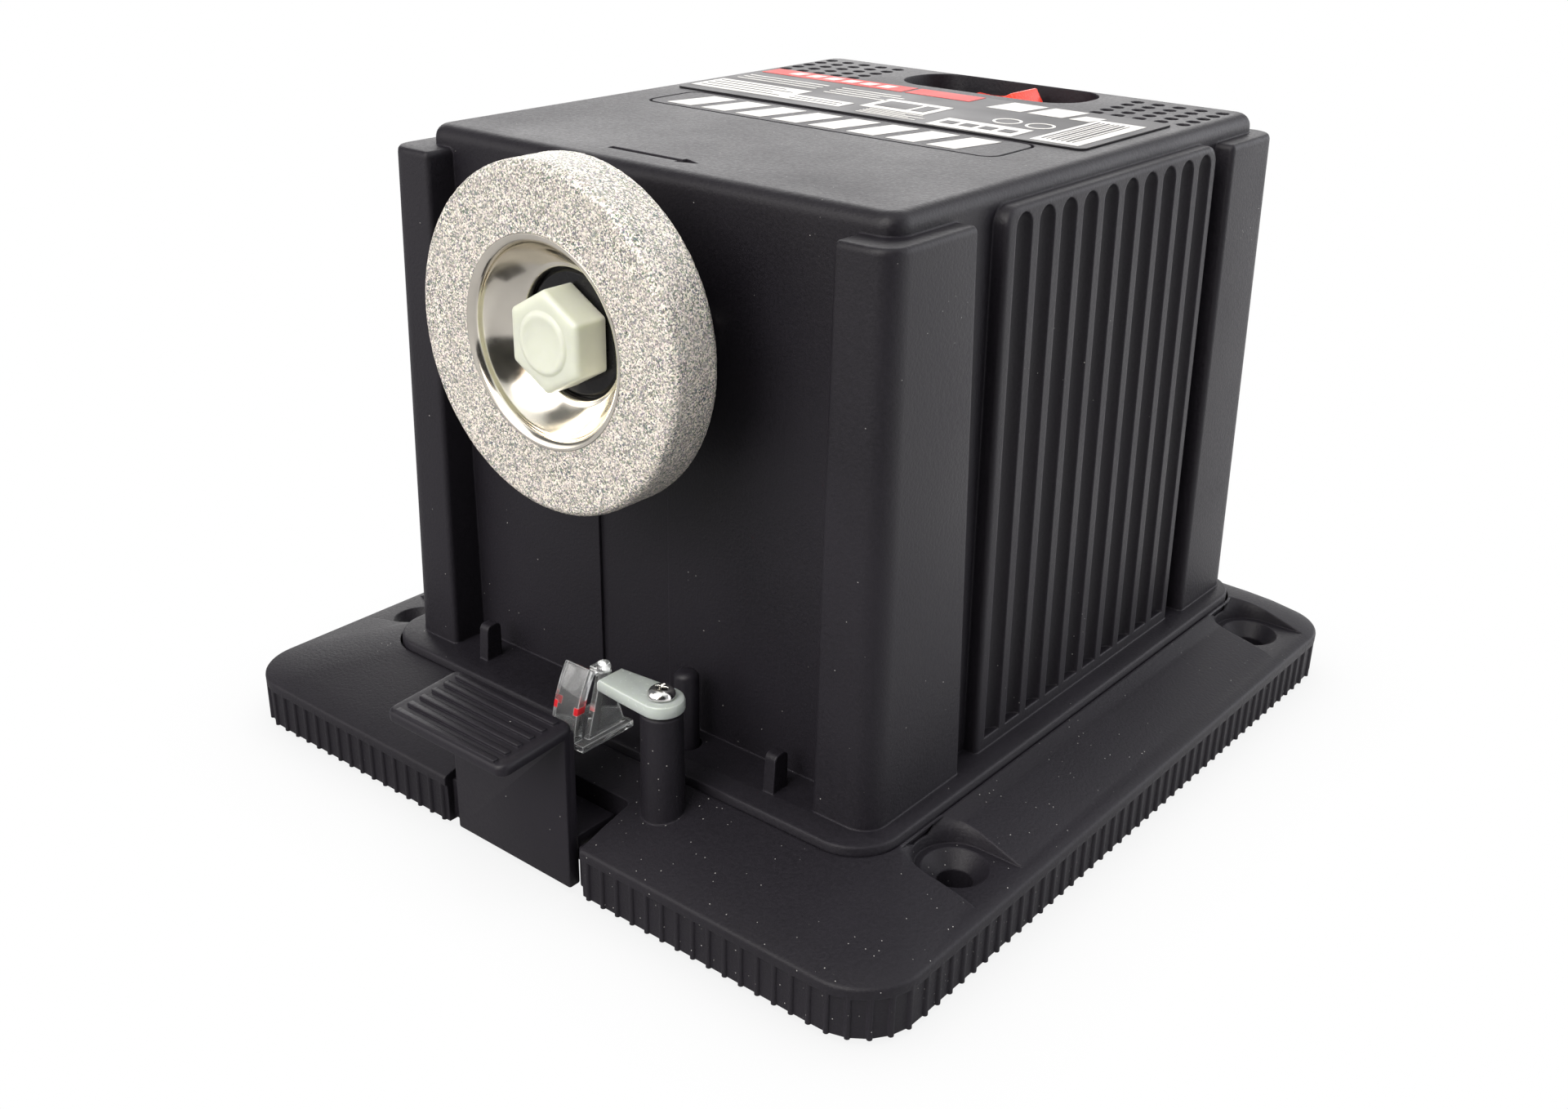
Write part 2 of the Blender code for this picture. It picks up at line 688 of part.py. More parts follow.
def build_housing():
    spread = DRAFT * (BODY_TOP - FOOT_TOP)
    top_plan = (-BODY_X, BODY_X, BODY_FRONT, BODY_BACK)
    foot_plan = (-BODY_X - spread, BODY_X + spread, BODY_FRONT, BODY_BACK + spread)
    rings = [rounded_plan(foot_plan, BODY_CORNER, FOOT_BOTTOM + 0.5 * MM)]
    for step in range(4):
        angle = math.radians(30.0 * step)
        inset = EDGE_ROUND * (1.0 - math.cos(angle))
        z = BODY_TOP - EDGE_ROUND + EDGE_ROUND * math.sin(angle)
        rings.append(rounded_plan(top_plan, BODY_CORNER, z, inset=inset))
    housing = loft("upper_housing", rings, MATERIALS["housing"])

    flange = loft(
        "flange",
        [
            rounded_plan(FOOT_PLAN, FOOT_CORNER, FOOT_BOTTOM),
            rounded_plan(FOOT_PLAN, FOOT_CORNER, FOOT_TOP - 0.4 * MM),
            rounded_plan(FOOT_PLAN, FOOT_CORNER, FOOT_TOP, inset=0.5 * MM),
        ],
    )
    join(housing, flange)
    for side, name in ((-1.0, "left"), (1.0, "right")):
        inner = side * POST_INNER
        outer = side * POST_X
        front_rings = post_rings(inner, outer, POST_FRONT, POST_SIDE, 1.0, 2.0, True)
        back_rings = post_rings(inner, outer, POST_BACK_SIDE, POST_BACK, 0.0, 1.0, False)
        front = loft(f"post_front_{name}", front_rings)
        back = loft(f"post_back_{name}", back_rings)
        panel, grooves = side_panel(side)
        join(housing, front, back, panel)
        cut(housing, grooves)
        fin_x = side * 32.0 * MM
        fin_outline = [(-42.0 * MM, 14.0 * MM), (-50.3 * MM, 14.0 * MM), (-50.3 * MM, 18.4 * MM)]
        fin_outline += arc_points((-47.3 * MM, 18.4 * MM), 3.0 * MM, 180.0, 90.0, 4)
        fin_outline += [(-42.0 * MM, 21.4 * MM)]
        fin = prism(f"fin_{name}", fin_outline, "X", fin_x - MM, fin_x + MM)
        join(housing, fin)

    channel = box(
        "front_channel",
        (CHANNEL_LEFT, -46.0 * MM, FOOT_TOP + 0.2 * MM),
        (CHANNEL_RIGHT, BODY_FRONT + CHANNEL_DEPTH, CHANNEL_TOP),
    )
    cut(housing, channel)

    inside_foot = (
        foot_plan[0] + WALL,
        foot_plan[1] - WALL,
        BODY_FRONT + WALL,
        foot_plan[3] - WALL,
    )
    inside_top = (-BODY_X + WALL, BODY_X - WALL, BODY_FRONT + WALL, BODY_BACK - WALL)
    cavity = loft(
        "cavity",
        [
            rounded_plan(inside_foot, 3.0 * MM, FOOT_BOTTOM - 2.0 * MM, steps=2),
            rounded_plan(inside_top, 3.0 * MM, BODY_TOP - WALL, steps=2),
        ],
    )
    switch_boss = box(
        "switch_boss",
        (-21.0 * MM, 41.5 * MM, 96.8 * MM),
        (21.0 * MM, 61.0 * MM, 102.0 * MM),
    )
    cut(housing, cavity)
    join(housing, switch_boss)
    for index, (x, y) in enumerate(boss_places()):
        boss = rod(f"screw_boss_{index}", (x, y, 4.0 * MM), (x, y, 34.0 * MM), 4.2 * MM, segments=16)
        bore = rod(f"screw_bore_{index}", (x, y, 2.0 * MM), (x, y, 24.0 * MM), 1.7 * MM, segments=12)
        join(housing, boss)
        cut(housing, bore)

    shaft_hole = rod(
        "shaft_hole",
        (0.0, -50.0 * MM, SHAFT_Z),
        (0.0, -35.0 * MM, SHAFT_Z),
        6.5 * MM,
        segments=20,
    )
    switch_hole = box(
        "switch_hole",
        (-9.9 * MM, SWITCH_Y - 5.8 * MM, 90.0 * MM),
        (9.9 * MM, SWITCH_Y + 5.8 * MM, 101.0 * MM),
    )
    plunger_hole = rod(
        "plunger_hole",
        (PLUNGER_X, PLUNGER_Y, 8.0 * MM),
        (PLUNGER_X, PLUNGER_Y, 20.0 * MM),
        2.4 * MM,
        segments=16,
    )
    cut(housing, shaft_hole, switch_recess_tool(), switch_hole, vent_tool(), plunger_hole)
    for side in (-1.0, 1.0):
        x = side * MOTOR_SCREW_X
        hole = rod(
            f"motor_hole_{side:+.0f}",
            (x, -50.0 * MM, SHAFT_Z),
            (x, -35.0 * MM, SHAFT_Z),
            1.8 * MM,
            segments=12,
        )
        cut(housing, hole)
    return housing


def boss_places():
    return [(sx * 41.0 * MM, y) for sx in (-1.0, 1.0) for y in (-37.0 * MM, 56.5 * MM)]


def build_bottom():
    plan = (OPENING[0] + GAP, OPENING[1] - GAP, OPENING[2] + GAP, OPENING[3] - GAP)
    cover = loft(
        "bottom_cover",
        [
            rounded_plan(plan, 4.0 * MM, 1.0 * MM, steps=3),
            rounded_plan(plan, 4.0 * MM, 3.0 * MM, steps=3),
        ],
        MATERIALS["base"],
    )
    pad = box("cover_pad", (-16.0 * MM, -10.0 * MM, 0.5 * MM), (16.0 * MM, 10.0 * MM, 2.0 * MM))
    join(cover, pad)
    for index, (x, y) in enumerate(boss_places()):
        hole = rod(f"cover_hole_{index}", (x, y, 0.0), (x, y, 5.0 * MM), 2.0 * MM, segments=12)
        cut(cover, hole)
    for index, (x, y) in enumerate(foot_places()):
        hole = rod(f"foot_hole_{index}", (x, y, 0.0), (x, y, 5.0 * MM), 2.8 * MM, segments=16)
        cut(cover, hole)
        turned(
            f"rubber_foot_{index + 1}",
            [
                (0.0, 4.6 * MM),
                (2.0 * MM, 4.6 * MM),
                (2.5 * MM, 3.6 * MM),
                (2.5 * MM, 0.85 * MM),
                (6.0 * MM, 0.85 * MM),
                (6.0 * MM, 0.3 * MM),
                (5.6 * MM, 0.0),
                (0.0, 0.0),
            ],
            (x, y, 0.0),
            MATERIALS["rubber"],
            steps=14,
            open_ends=True,
        )
    stand_offs = ((-26.0, 20.0), (-26.0, 44.0), (6.0, 20.0), (6.0, 44.0))
    for index, (x, y) in enumerate(stand_offs):
        peg = rod(
            f"stand_off_{index}",
            (x * MM, y * MM, 2.0 * MM),
            (x * MM, y * MM, 7.7 * MM),
            2.4 * MM,
            segments=12,
        )
        join(cover, peg)
    for index, (x, y) in enumerate(boss_places()):
        turned(
            f"housing_screw_{index + 1}",
            [
                (0.0, 20.0 * MM),
                (1.0 * MM, 20.0 * MM),
                (1.4 * MM, 18.5 * MM),
                (1.4 * MM, 0.7 * MM),
                (2.9 * MM, 0.7 * MM),
                (2.9 * MM, 0.25 * MM),
                (2.4 * MM, 0.1 * MM),
                (0.0, 0.1 * MM),
            ],
            (x, y, 0.0),
            MATERIALS["steel"],
            steps=10,
            open_ends=True,
        )


def foot_places():
    return [(sx * 38.0 * MM, y) for sx in (-1.0, 1.0) for y in (-26.0 * MM, 42.0 * MM)]


# ---------------------------------------------------------------- switch and label

def build_label():
    box(
        "rating_label",
        (-42.0 * MM, 10.8 * MM, BODY_TOP + 0.1 * MM),
        (41.5 * MM, 39.8 * MM, BODY_TOP + 0.3 * MM),
        MATERIALS["label"],
    )


def build_switch():
    body = box(
        "switch_body",
        (-10.6 * MM, SWITCH_Y - 6.3 * MM, RECESS_FLOOR + GAP),
        (10.6 * MM, SWITCH_Y + 6.3 * MM, 100.6 * MM),
        MATERIALS["switch"],
    )
    shell = box(
        "switch_shell",
        (-9.6 * MM, SWITCH_Y - 5.4 * MM, 85.0 * MM),
        (9.6 * MM, SWITCH_Y + 5.4 * MM, 100.0 * MM),
    )
    join(body, shell)
    well = box(
        "switch_well",
        (-9.2 * MM, SWITCH_Y - 4.7 * MM, 91.0 * MM),
        (9.2 * MM, SWITCH_Y + 4.7 * MM, 106.0 * MM),
    )
    cut(body, well)
    for x in (-5.0 * MM, 5.0 * MM):
        tab = box(
            f"switch_tab_{'left' if x < 0 else 'right'}",
            (x - 0.4 * MM, SWITCH_Y - 2.4 * MM, 79.0 * MM),
            (x + 0.4 * MM, SWITCH_Y + 2.4 * MM, 86.0 * MM),
        )
        join(body, tab)

    half_outline = [(8.2, 0.2), (6.2, 4.7), (0.0, 3.6)]
    neutral = half_outline + [(-a, b) for a, b in reversed(half_outline[:2])]
    neutral += [(-7.4, -1.0), (0.0, -4.6), (7.4, -1.0)]
    outline = []
    for a, b in neutral:
        x = a * math.cos(ROCKER_TILT) - b * math.sin(ROCKER_TILT)
        z = a * math.sin(ROCKER_TILT) + b * math.cos(ROCKER_TILT)
        outline.append((x * MM, z * MM))
    rocker = prism(
        "switch_rocker",
        outline,
        "Y",
        -4.3 * MM,
        4.3 * MM,
        MATERIALS["rocker"],
        bevel=0.35 * MM,
    )
    rocker.location = (0.0, SWITCH_Y, ROCKER_PIVOT_Z)


# ---------------------------------------------------------------- wheel, hub and motor

def shaft_profile(points):
    """(radius, world y) pairs in millimetres as a profile whose +Z faces the wheel."""
    return [(radius * MM, -y * MM) for radius, y in points]


def on_shaft(name, points, material, steps=32, open_ends=False):
    return turned(
        name,
        shaft_profile(points),
        (0.0, 0.0, SHAFT_Z),
        material,
        steps=steps,
        facing="Y",
        open_ends=open_ends,
    )


def build_wheel():
    front = WHEEL_FRONT / MM
    back = WHEEL_BACK / MM
    rim = WHEEL_RADIUS / MM
    on_shaft(
        "grinding_wheel",
        [
            (15.5, front),
            (rim - 1.3, front),
            (rim - 0.4, front + 0.4),
            (rim, front + 1.3),
            (rim, back - 1.3),
            (rim - 0.4, back - 0.4),
            (rim - 1.3, back),
            (14.4, back),
            (14.2, WEB_BACK / MM),
            (9.7, WEB_BACK / MM),
            (9.7, WEB_FRONT / MM),
            (11.6, -57.5),
            (13.2, -59.0),
            (14.4, -61.6),
        ],
        MATERIALS["grit"],
        steps=36,
    )
    on_shaft(
        "wheel_hub",
        [
            (2.7, -56.0),
            (9.3, -56.0),
            (9.3, -55.1),
            (13.5, -55.1),
            (13.5, -51.0),
            (6.0, -50.0),
            (6.0, -44.2),
            (2.7, -44.2),
        ],
        MATERIALS["hub"],
        steps=24,
    )
    outline = []
    for i in range(6):
        angle = math.radians(30.0 + 60.0 * i)
        outline.append((NUT_CORNER * math.cos(angle), NUT_CORNER * math.sin(angle)))
    nut = prism("wheel_nut", outline, "Y", NUT_FRONT, NUT_BACK, MATERIALS["nut"], bevel=0.5 * MM)
    nut.location = (0.0, 0.0, SHAFT_Z)
    thread = rod(
        "nut_thread",
        (0.0, -60.0 * MM, SHAFT_Z),
        (0.0, -50.0 * MM, SHAFT_Z),
        2.7 * MM,
        segments=20,
    )
    cut(nut, thread)


def build_motor():
    front = MOTOR_FRONT / MM
    can = MOTOR_RADIUS / MM
    can_part = on_shaft(
        "motor_can",
        [
            (5.6, front),
            (can - 0.8, front),
            (can, front + 0.8),
            (can, CAN_BACK / MM),
            (can - 1.2, CAN_BACK / MM),
            (can - 1.2, front + 1.4),
            (8.0, front + 1.4),
            (8.0, front + 4.2),
            (5.6, front + 4.2),
        ],
        MATERIALS["steel"],
        steps=26,
    )
    for side in (-1.0, 1.0):
        x = side * MOTOR_SCREW_X
        thread = rod(
            f"can_thread_{side:+.0f}",
            (x, -45.0 * MM, SHAFT_Z),
            (x, -35.0 * MM, SHAFT_Z),
            1.7 * MM,
            segments=12,
        )
        cut(can_part, thread)
    bearing = [(5.4, 0.0), (5.4, 3.8), (2.65, 3.8), (2.65, 0.0)]
    on_shaft("front_bearing", [(r, front + 0.1 + y) for r, y in bearing], MATERIALS["bronze"], steps=16)
    bell = BELL_BACK / MM
    on_shaft("rear_bearing", [(r, bell - 3.9 + y) for r, y in bearing], MATERIALS["bronze"], steps=16)
    for side, name in ((-1.0, "left"), (1.0, "right")):
        middle = 90.0 - side * 90.0
        outline = arc_points((0.0, 0.0), 16.3 * MM, middle - 55.0, middle + 55.0, 8)
        outline += arc_points((0.0, 0.0), 13.6 * MM, middle + 55.0, middle - 55.0, 8)
        magnet = prism(f"magnet_{name}", outline, "Y", -32.0 * MM, 4.0 * MM, MATERIALS["ferrite"])
        magnet.location = (0.0, 0.0, SHAFT_Z)

    on_shaft(
        "motor_shaft",
        [(0.0, -59.6), (2.2, -59.6), (2.5, -59.2), (2.5, 31.6), (2.2, 32.0), (0.0, 32.0)],
        MATERIALS["steel"],
        steps=20,
        open_ends=True,
    )
    build_armature()

    bell_part = on_shaft(
        "motor_end_bell",
        [
            (15.8, CAN_BACK / MM + 0.3),
            (can, CAN_BACK / MM + 0.3),
            (can, bell - 1.0),
            (can - 1.0, bell),
            (5.7, bell),
            (5.7, bell - 4.2),
            (7.6, bell - 4.2),
            (7.6, bell - 2.0),
            (15.8, bell - 2.0),
        ],
        MATERIALS["bell"],
        steps=24,
    )
    for side, name in ((-1.0, "left"), (1.0, "right")):
        low = min(side * 7.2, side * 16.4) * MM
        high = max(side * 7.2, side * 16.4) * MM
        guide = box(
            f"brush_guide_{name}",
            (low, 12.4 * MM, SHAFT_Z - 3.3 * MM),
            (high, 20.6 * MM, SHAFT_Z + 3.3 * MM),
        )
        low = min(side * 2.0, side * 15.8) * MM
        high = max(side * 2.0, side * 15.8) * MM
        channel = box(
            f"brush_channel_{name}",
            (low, 13.0 * MM, SHAFT_Z - 2.3 * MM),
            (high, 17.6 * MM, SHAFT_Z + 2.3 * MM),
        )
        join(bell_part, guide)
        cut(bell_part, channel)
        near = side * 4.9 * MM
        far = side * 10.6 * MM
        box(
            f"brush_{name}",
            (min(near, far), 13.3 * MM, SHAFT_Z - 2.0 * MM),
            (max(near, far), 17.3 * MM, SHAFT_Z + 2.0 * MM),
            MATERIALS["carbon"],
        )
        coil(
            f"brush_spring_{name}",
            (side * 10.9 * MM, 15.3 * MM, SHAFT_Z),
            (side * 15.5 * MM, 15.3 * MM, SHAFT_Z),
            1.5 * MM,
            0.25 * MM,
            3,
            MATERIALS["spring"],
            steps=8,
        )
    screw_points = [
        (0.0, -45.6),
        (2.0, -45.6),
        (2.9, -45.0),
        (2.9, -43.9),
        (1.4, -43.9),
        (1.4, -36.6),
        (0.0, -36.6),
    ]
    for side, name in ((-1.0, "left"), (1.0, "right")):
        turned(
            f"motor_screw_{name}",
            shaft_profile(screw_points),
            (side * MOTOR_SCREW_X, 0.0, SHAFT_Z),
            MATERIALS["steel"],
            steps=12,
            facing="Y",
            open_ends=True,
        )


def build_armature():
    slots = 5
    outline = []
    for index in range(slots):
        middle = 90.0 + 360.0 * index / slots
        turn = Matrix.Rotation(math.radians(middle - 90.0), 2)
        slot = [(0.9 * MM, 12.86 * MM)]
        slot += arc_points((0.0, 8.4 * MM), 3.0 * MM, 70.0, -250.0, 10)
        slot += [(-0.9 * MM, 12.86 * MM)]
        outline += [tuple(turn @ Vector(point)) for point in slot]
        rim = arc_points((0.0, 0.0), 12.9 * MM, middle + 6.0, middle + 66.0, 5)
        outline += rim
    core = prism("armature_core", outline, "Y", -28.0 * MM, 0.0, MATERIALS["steel"])
    core.location = (0.0, 0.0, SHAFT_Z)
    core_bore = rod(
        "core_bore",
        (0.0, -40.0 * MM, SHAFT_Z),
        (0.0, 10.0 * MM, SHAFT_Z),
        2.65 * MM,
        segments=16,
    )
    cut(core, core_bore)
    winding = on_shaft(
        "armature_winding",
        [(3.2, -33.6), (8.0, -33.6), (11.2, -31.6), (11.2, -28.4), (3.2, -28.4)],
        MATERIALS["copper"],
        steps=16,
    )
    rear = on_shaft(
        "winding_rear",
        [(3.2, 0.4), (11.2, 0.4), (11.2, 3.6), (8.0, 5.6), (3.2, 5.6)],
        None,
        steps=16,
    )
    join(winding, rear)
    for index in range(5):
        angle = math.radians(90.0 + 72.0 * index)
        x = 8.4 * MM * math.cos(angle)
        z = 8.4 * MM * math.sin(angle)
        bar = rod(
            f"bar_{index}",
            (x, -30.0 * MM, z + SHAFT_Z),
            (x, 2.0 * MM, z + SHAFT_Z),
            2.5 * MM,
            segments=10,
        )
        join(winding, bar)
    on_shaft(
        "commutator",
        [(2.65, 6.2), (4.0, 6.2), (5.2, 7.0), (5.2, 8.2), (4.6, 8.4), (4.6, 17.6), (2.65, 17.6)],
        MATERIALS["copper"],
        steps=16,
    )
    fan = on_shaft(
        "cooling_fan",
        [(2.65, 23.6), (5.0, 23.6), (5.0, 28.6), (16.0, 29.6), (16.0, 30.6), (2.65, 30.6)],
        MATERIALS["fan"],
        steps=20,
    )
    for index in range(8):
        angle = math.radians(45.0 * index)
        blade = box(f"blade_{index}", (6.0 * MM, 24.4 * MM, -0.5 * MM), (15.6 * MM, 30.0 * MM, 0.5 * MM))
        blade.rotation_euler = (0.0, angle, 0.0)
        blade.location = (0.0, 0.0, SHAFT_Z)
        join(fan, blade)


# ---------------------------------------------------------------- lever, gauge and plunger

def build_lever():
    y0 = LEVER_PLATE_Y
    y1 = LEVER_PLATE_Y + LEVER_PLATE
    lever = box(
        "thumb_lever",
        (-LEVER_X, y0, 1.0 * MM),
        (LEVER_X, y1, LEVER_TOP - 1.2 * MM),
        MATERIALS["lever"],
    )
    drop = 1.0 * MM
    pad_outline = [
        (y1, LEVER_TOP),
        (y1, LEVER_TOP - 2.0 * MM),
        (PAD_FRONT, LEVER_TOP - 2.0 * MM - drop),
        (PAD_FRONT - 0.3 * MM, LEVER_TOP - drop - 0.4 * MM),
        (PAD_FRONT + 0.2 * MM, LEVER_TOP - drop),
    ]
    pad = prism("lever_pad", pad_outline, "X", -LEVER_X - 0.1 * MM, LEVER_X + 0.1 * MM)
    join(lever, pad)
    for index in range(6):
        y = -73.0 * MM - index * 2.3 * MM
        z = LEVER_TOP - drop * (y1 - y) / (y1 - PAD_FRONT)
        ridge = box(
            f"pad_ridge_{index}",
            (-10.9 * MM, y - 0.5 * MM, z - 0.6 * MM),
            (10.9 * MM, y + 0.5 * MM, z + 0.35 * MM),
        )
        join(lever, ridge)
    barrel = rod(
        "lever_barrel",
        (-12.2 * MM, LEVER_PIN_Y, LEVER_PIN_Z),
        (12.2 * MM, LEVER_PIN_Y, LEVER_PIN_Z),
        2.6 * MM,
        segments=16,
    )
    claw_outline = [
        (y1 - 0.5 * MM, 17.0 * MM),
        (y1 + 2.7 * MM, 17.0 * MM),
        (y1 + 4.9 * MM, 20.0 * MM),
        (y1 + 3.3 * MM, 22.4 * MM),
        (y1 - 0.5 * MM, 22.4 * MM),
    ]
    claw = prism("lever_claw", claw_outline, "X", -11.0 * MM, -5.0 * MM)
    bore = rod(
        "lever_bore",
        (-14.0 * MM, LEVER_PIN_Y, LEVER_PIN_Z),
        (14.0 * MM, LEVER_PIN_Y, LEVER_PIN_Z),
        1.3 * MM,
        segments=12,
    )
    shelf = box(
        "lever_shelf",
        (-12.4 * MM, y1 - 0.4 * MM, 6.8 * MM),
        (12.4 * MM, NOTCH_BACK - 0.8 * MM, 9.3 * MM),
    )
    join(lever, barrel, claw, shelf)
    cut(lever, bore)
    centre_origin(lever, (0.0, LEVER_PIN_Y, LEVER_PIN_Z))
    rod(
        "lever_pin",
        (-16.7 * MM, LEVER_PIN_Y, LEVER_PIN_Z),
        (16.7 * MM, LEVER_PIN_Y, LEVER_PIN_Z),
        1.0 * MM,
        MATERIALS["steel"],
        segments=12,
    )
    coil(
        "lever_spring",
        (0.0, y1 + GAP, 11.8 * MM),
        (0.0, NOTCH_BACK - GAP, 11.8 * MM),
        1.4 * MM,
        0.3 * MM,
        5,
        MATERIALS["spring"],
        steps=8,
    )


def build_gauge():
    arm_outline = arc_points((0.0, 0.0), ARM_HALF, -90.0, 90.0, 10)
    arm_outline += [(-ARM_REACH, ARM_HALF), (-ARM_REACH, -ARM_HALF)]
    arm = prism("gauge_arm", arm_outline, "Z", ARM_BOTTOM, ARM_TOP, MATERIALS["nut"], bevel=0.4 * MM)
    arm.location = (GAUGE_X, GAUGE_Y, 0.0)
    hole = rod(
        "arm_hole",
        (GAUGE_X, GAUGE_Y, 20.0 * MM),
        (GAUGE_X, GAUGE_Y, 40.0 * MM),
        1.6 * MM,
        segments=16,
    )
    cut(arm, hole)

    turned(
        "gauge_screw",
        [
            (0.0, 33.7 * MM),
            (0.9 * MM, 33.6 * MM),
            (1.8 * MM, 33.1 * MM),
            (2.15 * MM, ARM_TOP + 0.2 * MM),
            (1.2 * MM, ARM_TOP + 0.2 * MM),
            (1.2 * MM, 20.6 * MM),
            (0.0, 20.3 * MM),
        ],
        (GAUGE_X, GAUGE_Y, 0.0),
        MATERIALS["chrome"],
        steps=20,
        open_ends=True,
    )

    foot = box(
        "sight_piece",
        (0.6 * MM, -66.6 * MM, 20.2 * MM),
        (9.4 * MM, -55.6 * MM, 21.4 * MM),
        MATERIALS["clear"],
    )
    bend = 22.6 * MM
    centre = (-66.6 * MM + bend, 20.2 * MM)
    curve = arc_points(centre, bend, 180.0, 147.0, 6)
    curve += arc_points(centre, bend - 1.7 * MM, 147.0, 180.0, 6)
    wall = prism("sight_wall", curve, "X", 1.2 * MM, 7.6 * MM)
    knob = rod(
        "sight_knob",
        (8.3 * MM, -60.6 * MM, 30.6 * MM),
        (8.3 * MM, -60.6 * MM, 33.3 * MM),
        1.1 * MM,
        segments=16,
    )
    stem = box(
        "sight_stem",
        (6.2 * MM, -62.4 * MM, 30.9 * MM),
        (8.3 * MM, -60.0 * MM, 32.2 * MM),
    )
    join(foot, wall, stem, knob)
    return foot


def build_plunger():
    turned(
        "interlock_plunger",
        [
            (0.0, 28.2 * MM),
            (1.4 * MM, 28.0 * MM),
            (2.0 * MM, 27.2 * MM),
            (2.0 * MM, 11.6 * MM),
            (3.2 * MM, 11.6 * MM),
            (3.2 * MM, 10.4 * MM),
            (1.2 * MM, 10.4 * MM),
            (1.2 * MM, 7.6 * MM),
            (0.0, 7.6 * MM),
        ],
        (PLUNGER_X, PLUNGER_Y, 0.0),
        MATERIALS["lever"],
        steps=16,
        open_ends=True,
    )
    coil(
        "plunger_spring",
        (PLUNGER_X, PLUNGER_Y, 3.3 * MM),
        (PLUNGER_X, PLUNGER_Y, 10.1 * MM),
        2.2 * MM,
        0.3 * MM,
        4,
        MATERIALS["spring"],
        steps=8,
    )
    box(
        "interlock_switch",
        (17.0 * MM, -49.0 * MM, 3.3 * MM),
        (22.8 * MM, -36.2 * MM, 9.8 * MM),
        MATERIALS["switch"],
        bevel=0.4 * MM,
    )


# ---------------------------------------------------------------- electrics

def build_electrics():
    box(
        "rectifier_board",
        (-30.0 * MM, 16.0 * MM, 8.0 * MM),
        (10.0 * MM, 48.0 * MM, 9.6 * MM),
        MATERIALS["board"],
    )
    box(
        "bridge_rectifier",
        (-26.0 * MM, 22.0 * MM, 9.9 * MM),
        (-14.0 * MM, 34.0 * MM, 16.0 * MM),
        MATERIALS["component"],
        bevel=0.6 * MM,
    )
    box(
        "suppression_capacitor",
        (-10.0 * MM, 20.0 * MM, 9.9 * MM),
        (6.0 * MM, 28.0 * MM, 22.0 * MM),
        MATERIALS["capacitor"],
        bevel=0.8 * MM,
    )
    wires = {
        "switch_lead": [
            (5.0, 52.5, 78.6),
            (5.0, 52.5, 70.0),
            (8.0, 48.0, 45.0),
            (0.0, 44.0, 22.0),
            (-2.0, 42.0, 10.2),
        ],
        "cord_lead": [
            (-5.0, 52.5, 78.6),
            (-6.0, 53.0, 68.0),
            (-12.0, 54.0, 40.0),
            (-8.0, 54.0, 14.0),
            (-5.0, 57.0, 6.4),
            (-5.0, 60.8, 5.2),
        ],
        "motor_lead": [
            (19.2, 16.0, 80.0),
            (22.0, 18.0, 70.0),
            (20.0, 28.0, 45.0),
            (13.0, 36.0, 24.0),
            (8.0, 38.0, 10.2),
        ],
    }
    for name, points in wires.items():
        path = smooth_path([Vector(point) * MM for point in points], 3)
        tube(name, path, 0.8 * MM, MATERIALS[name], resolution=1)

    relief = turned(
        "strain_relief",
        [
            (CORD_RADIUS + GAP, 98.0 * MM),
            (3.3 * MM, 98.0 * MM),
            (4.1 * MM, 76.5 * MM),
            (4.1 * MM, 73.9 * MM),
            (RELIEF_RADIUS, 73.9 * MM),
            (RELIEF_RADIUS, 61.8 * MM),
            (CORD_RADIUS + GAP, 61.8 * MM),
        ],
        (CORD_X, 0.0, CORD_Z),
        MATERIALS["cord"],
        steps=14,
    )
    relief.rotation_euler = (math.radians(-90.0), 0.0, 0.0)

    start = [(CORD_X / MM, y, CORD_Z / MM) for y in (61.6, 75.0, 98.5)]
    bend = [
        (-6.5, 106.0, 4.2),
        (-13.0, 112.0, 3.6),
        (-21.0, 114.0, 4.2),
        (-25.5, 114.0, 4.6),
        (-29.5, 114.0, 4.6),
    ]
    path = smooth_path([Vector(point) * MM for point in start + bend], 3)
    tube("power_cord", path, CORD_RADIUS, MATERIALS["cord"], resolution=2)

    rings = []
    sections = (
        (-30.0, 7.0, 4.0),
        (-34.0, 8.4, 4.6),
        (-52.0, 13.6, 6.6),
        (-62.0, 13.6, 6.6),
        (-63.0, 12.8, 6.0),
    )
    for x, width, height in sections:
        ring = []
        plan = (-width / 2.0, width / 2.0, -height / 2.0, height / 2.0)
        for corner in rounded_plan(plan, height * 0.42, 0.0, steps=3):
            ring.append(Vector((x, 114.0 + corner.x, 4.6 + corner.y)) * MM)
        rings.append(ring)
    loft("plug_body", rings, MATERIALS["cord"])
    for index, y in enumerate((109.0, 119.0)):
        turned(
            f"plug_pin_{index + 1}",
            [(0.0, 19.0 * MM), (1.2 * MM, 19.0 * MM), (2.0 * MM, 18.0 * MM), (2.0 * MM, 0.0), (0.0, 0.0)],
            (-63.3 * MM, y * MM, 4.6 * MM),
            MATERIALS["chrome"],
            steps=12,
            open_ends=True,
        ).rotation_euler = (0.0, math.radians(-90.0), 0.0)


# ---------------------------------------------------------------- build

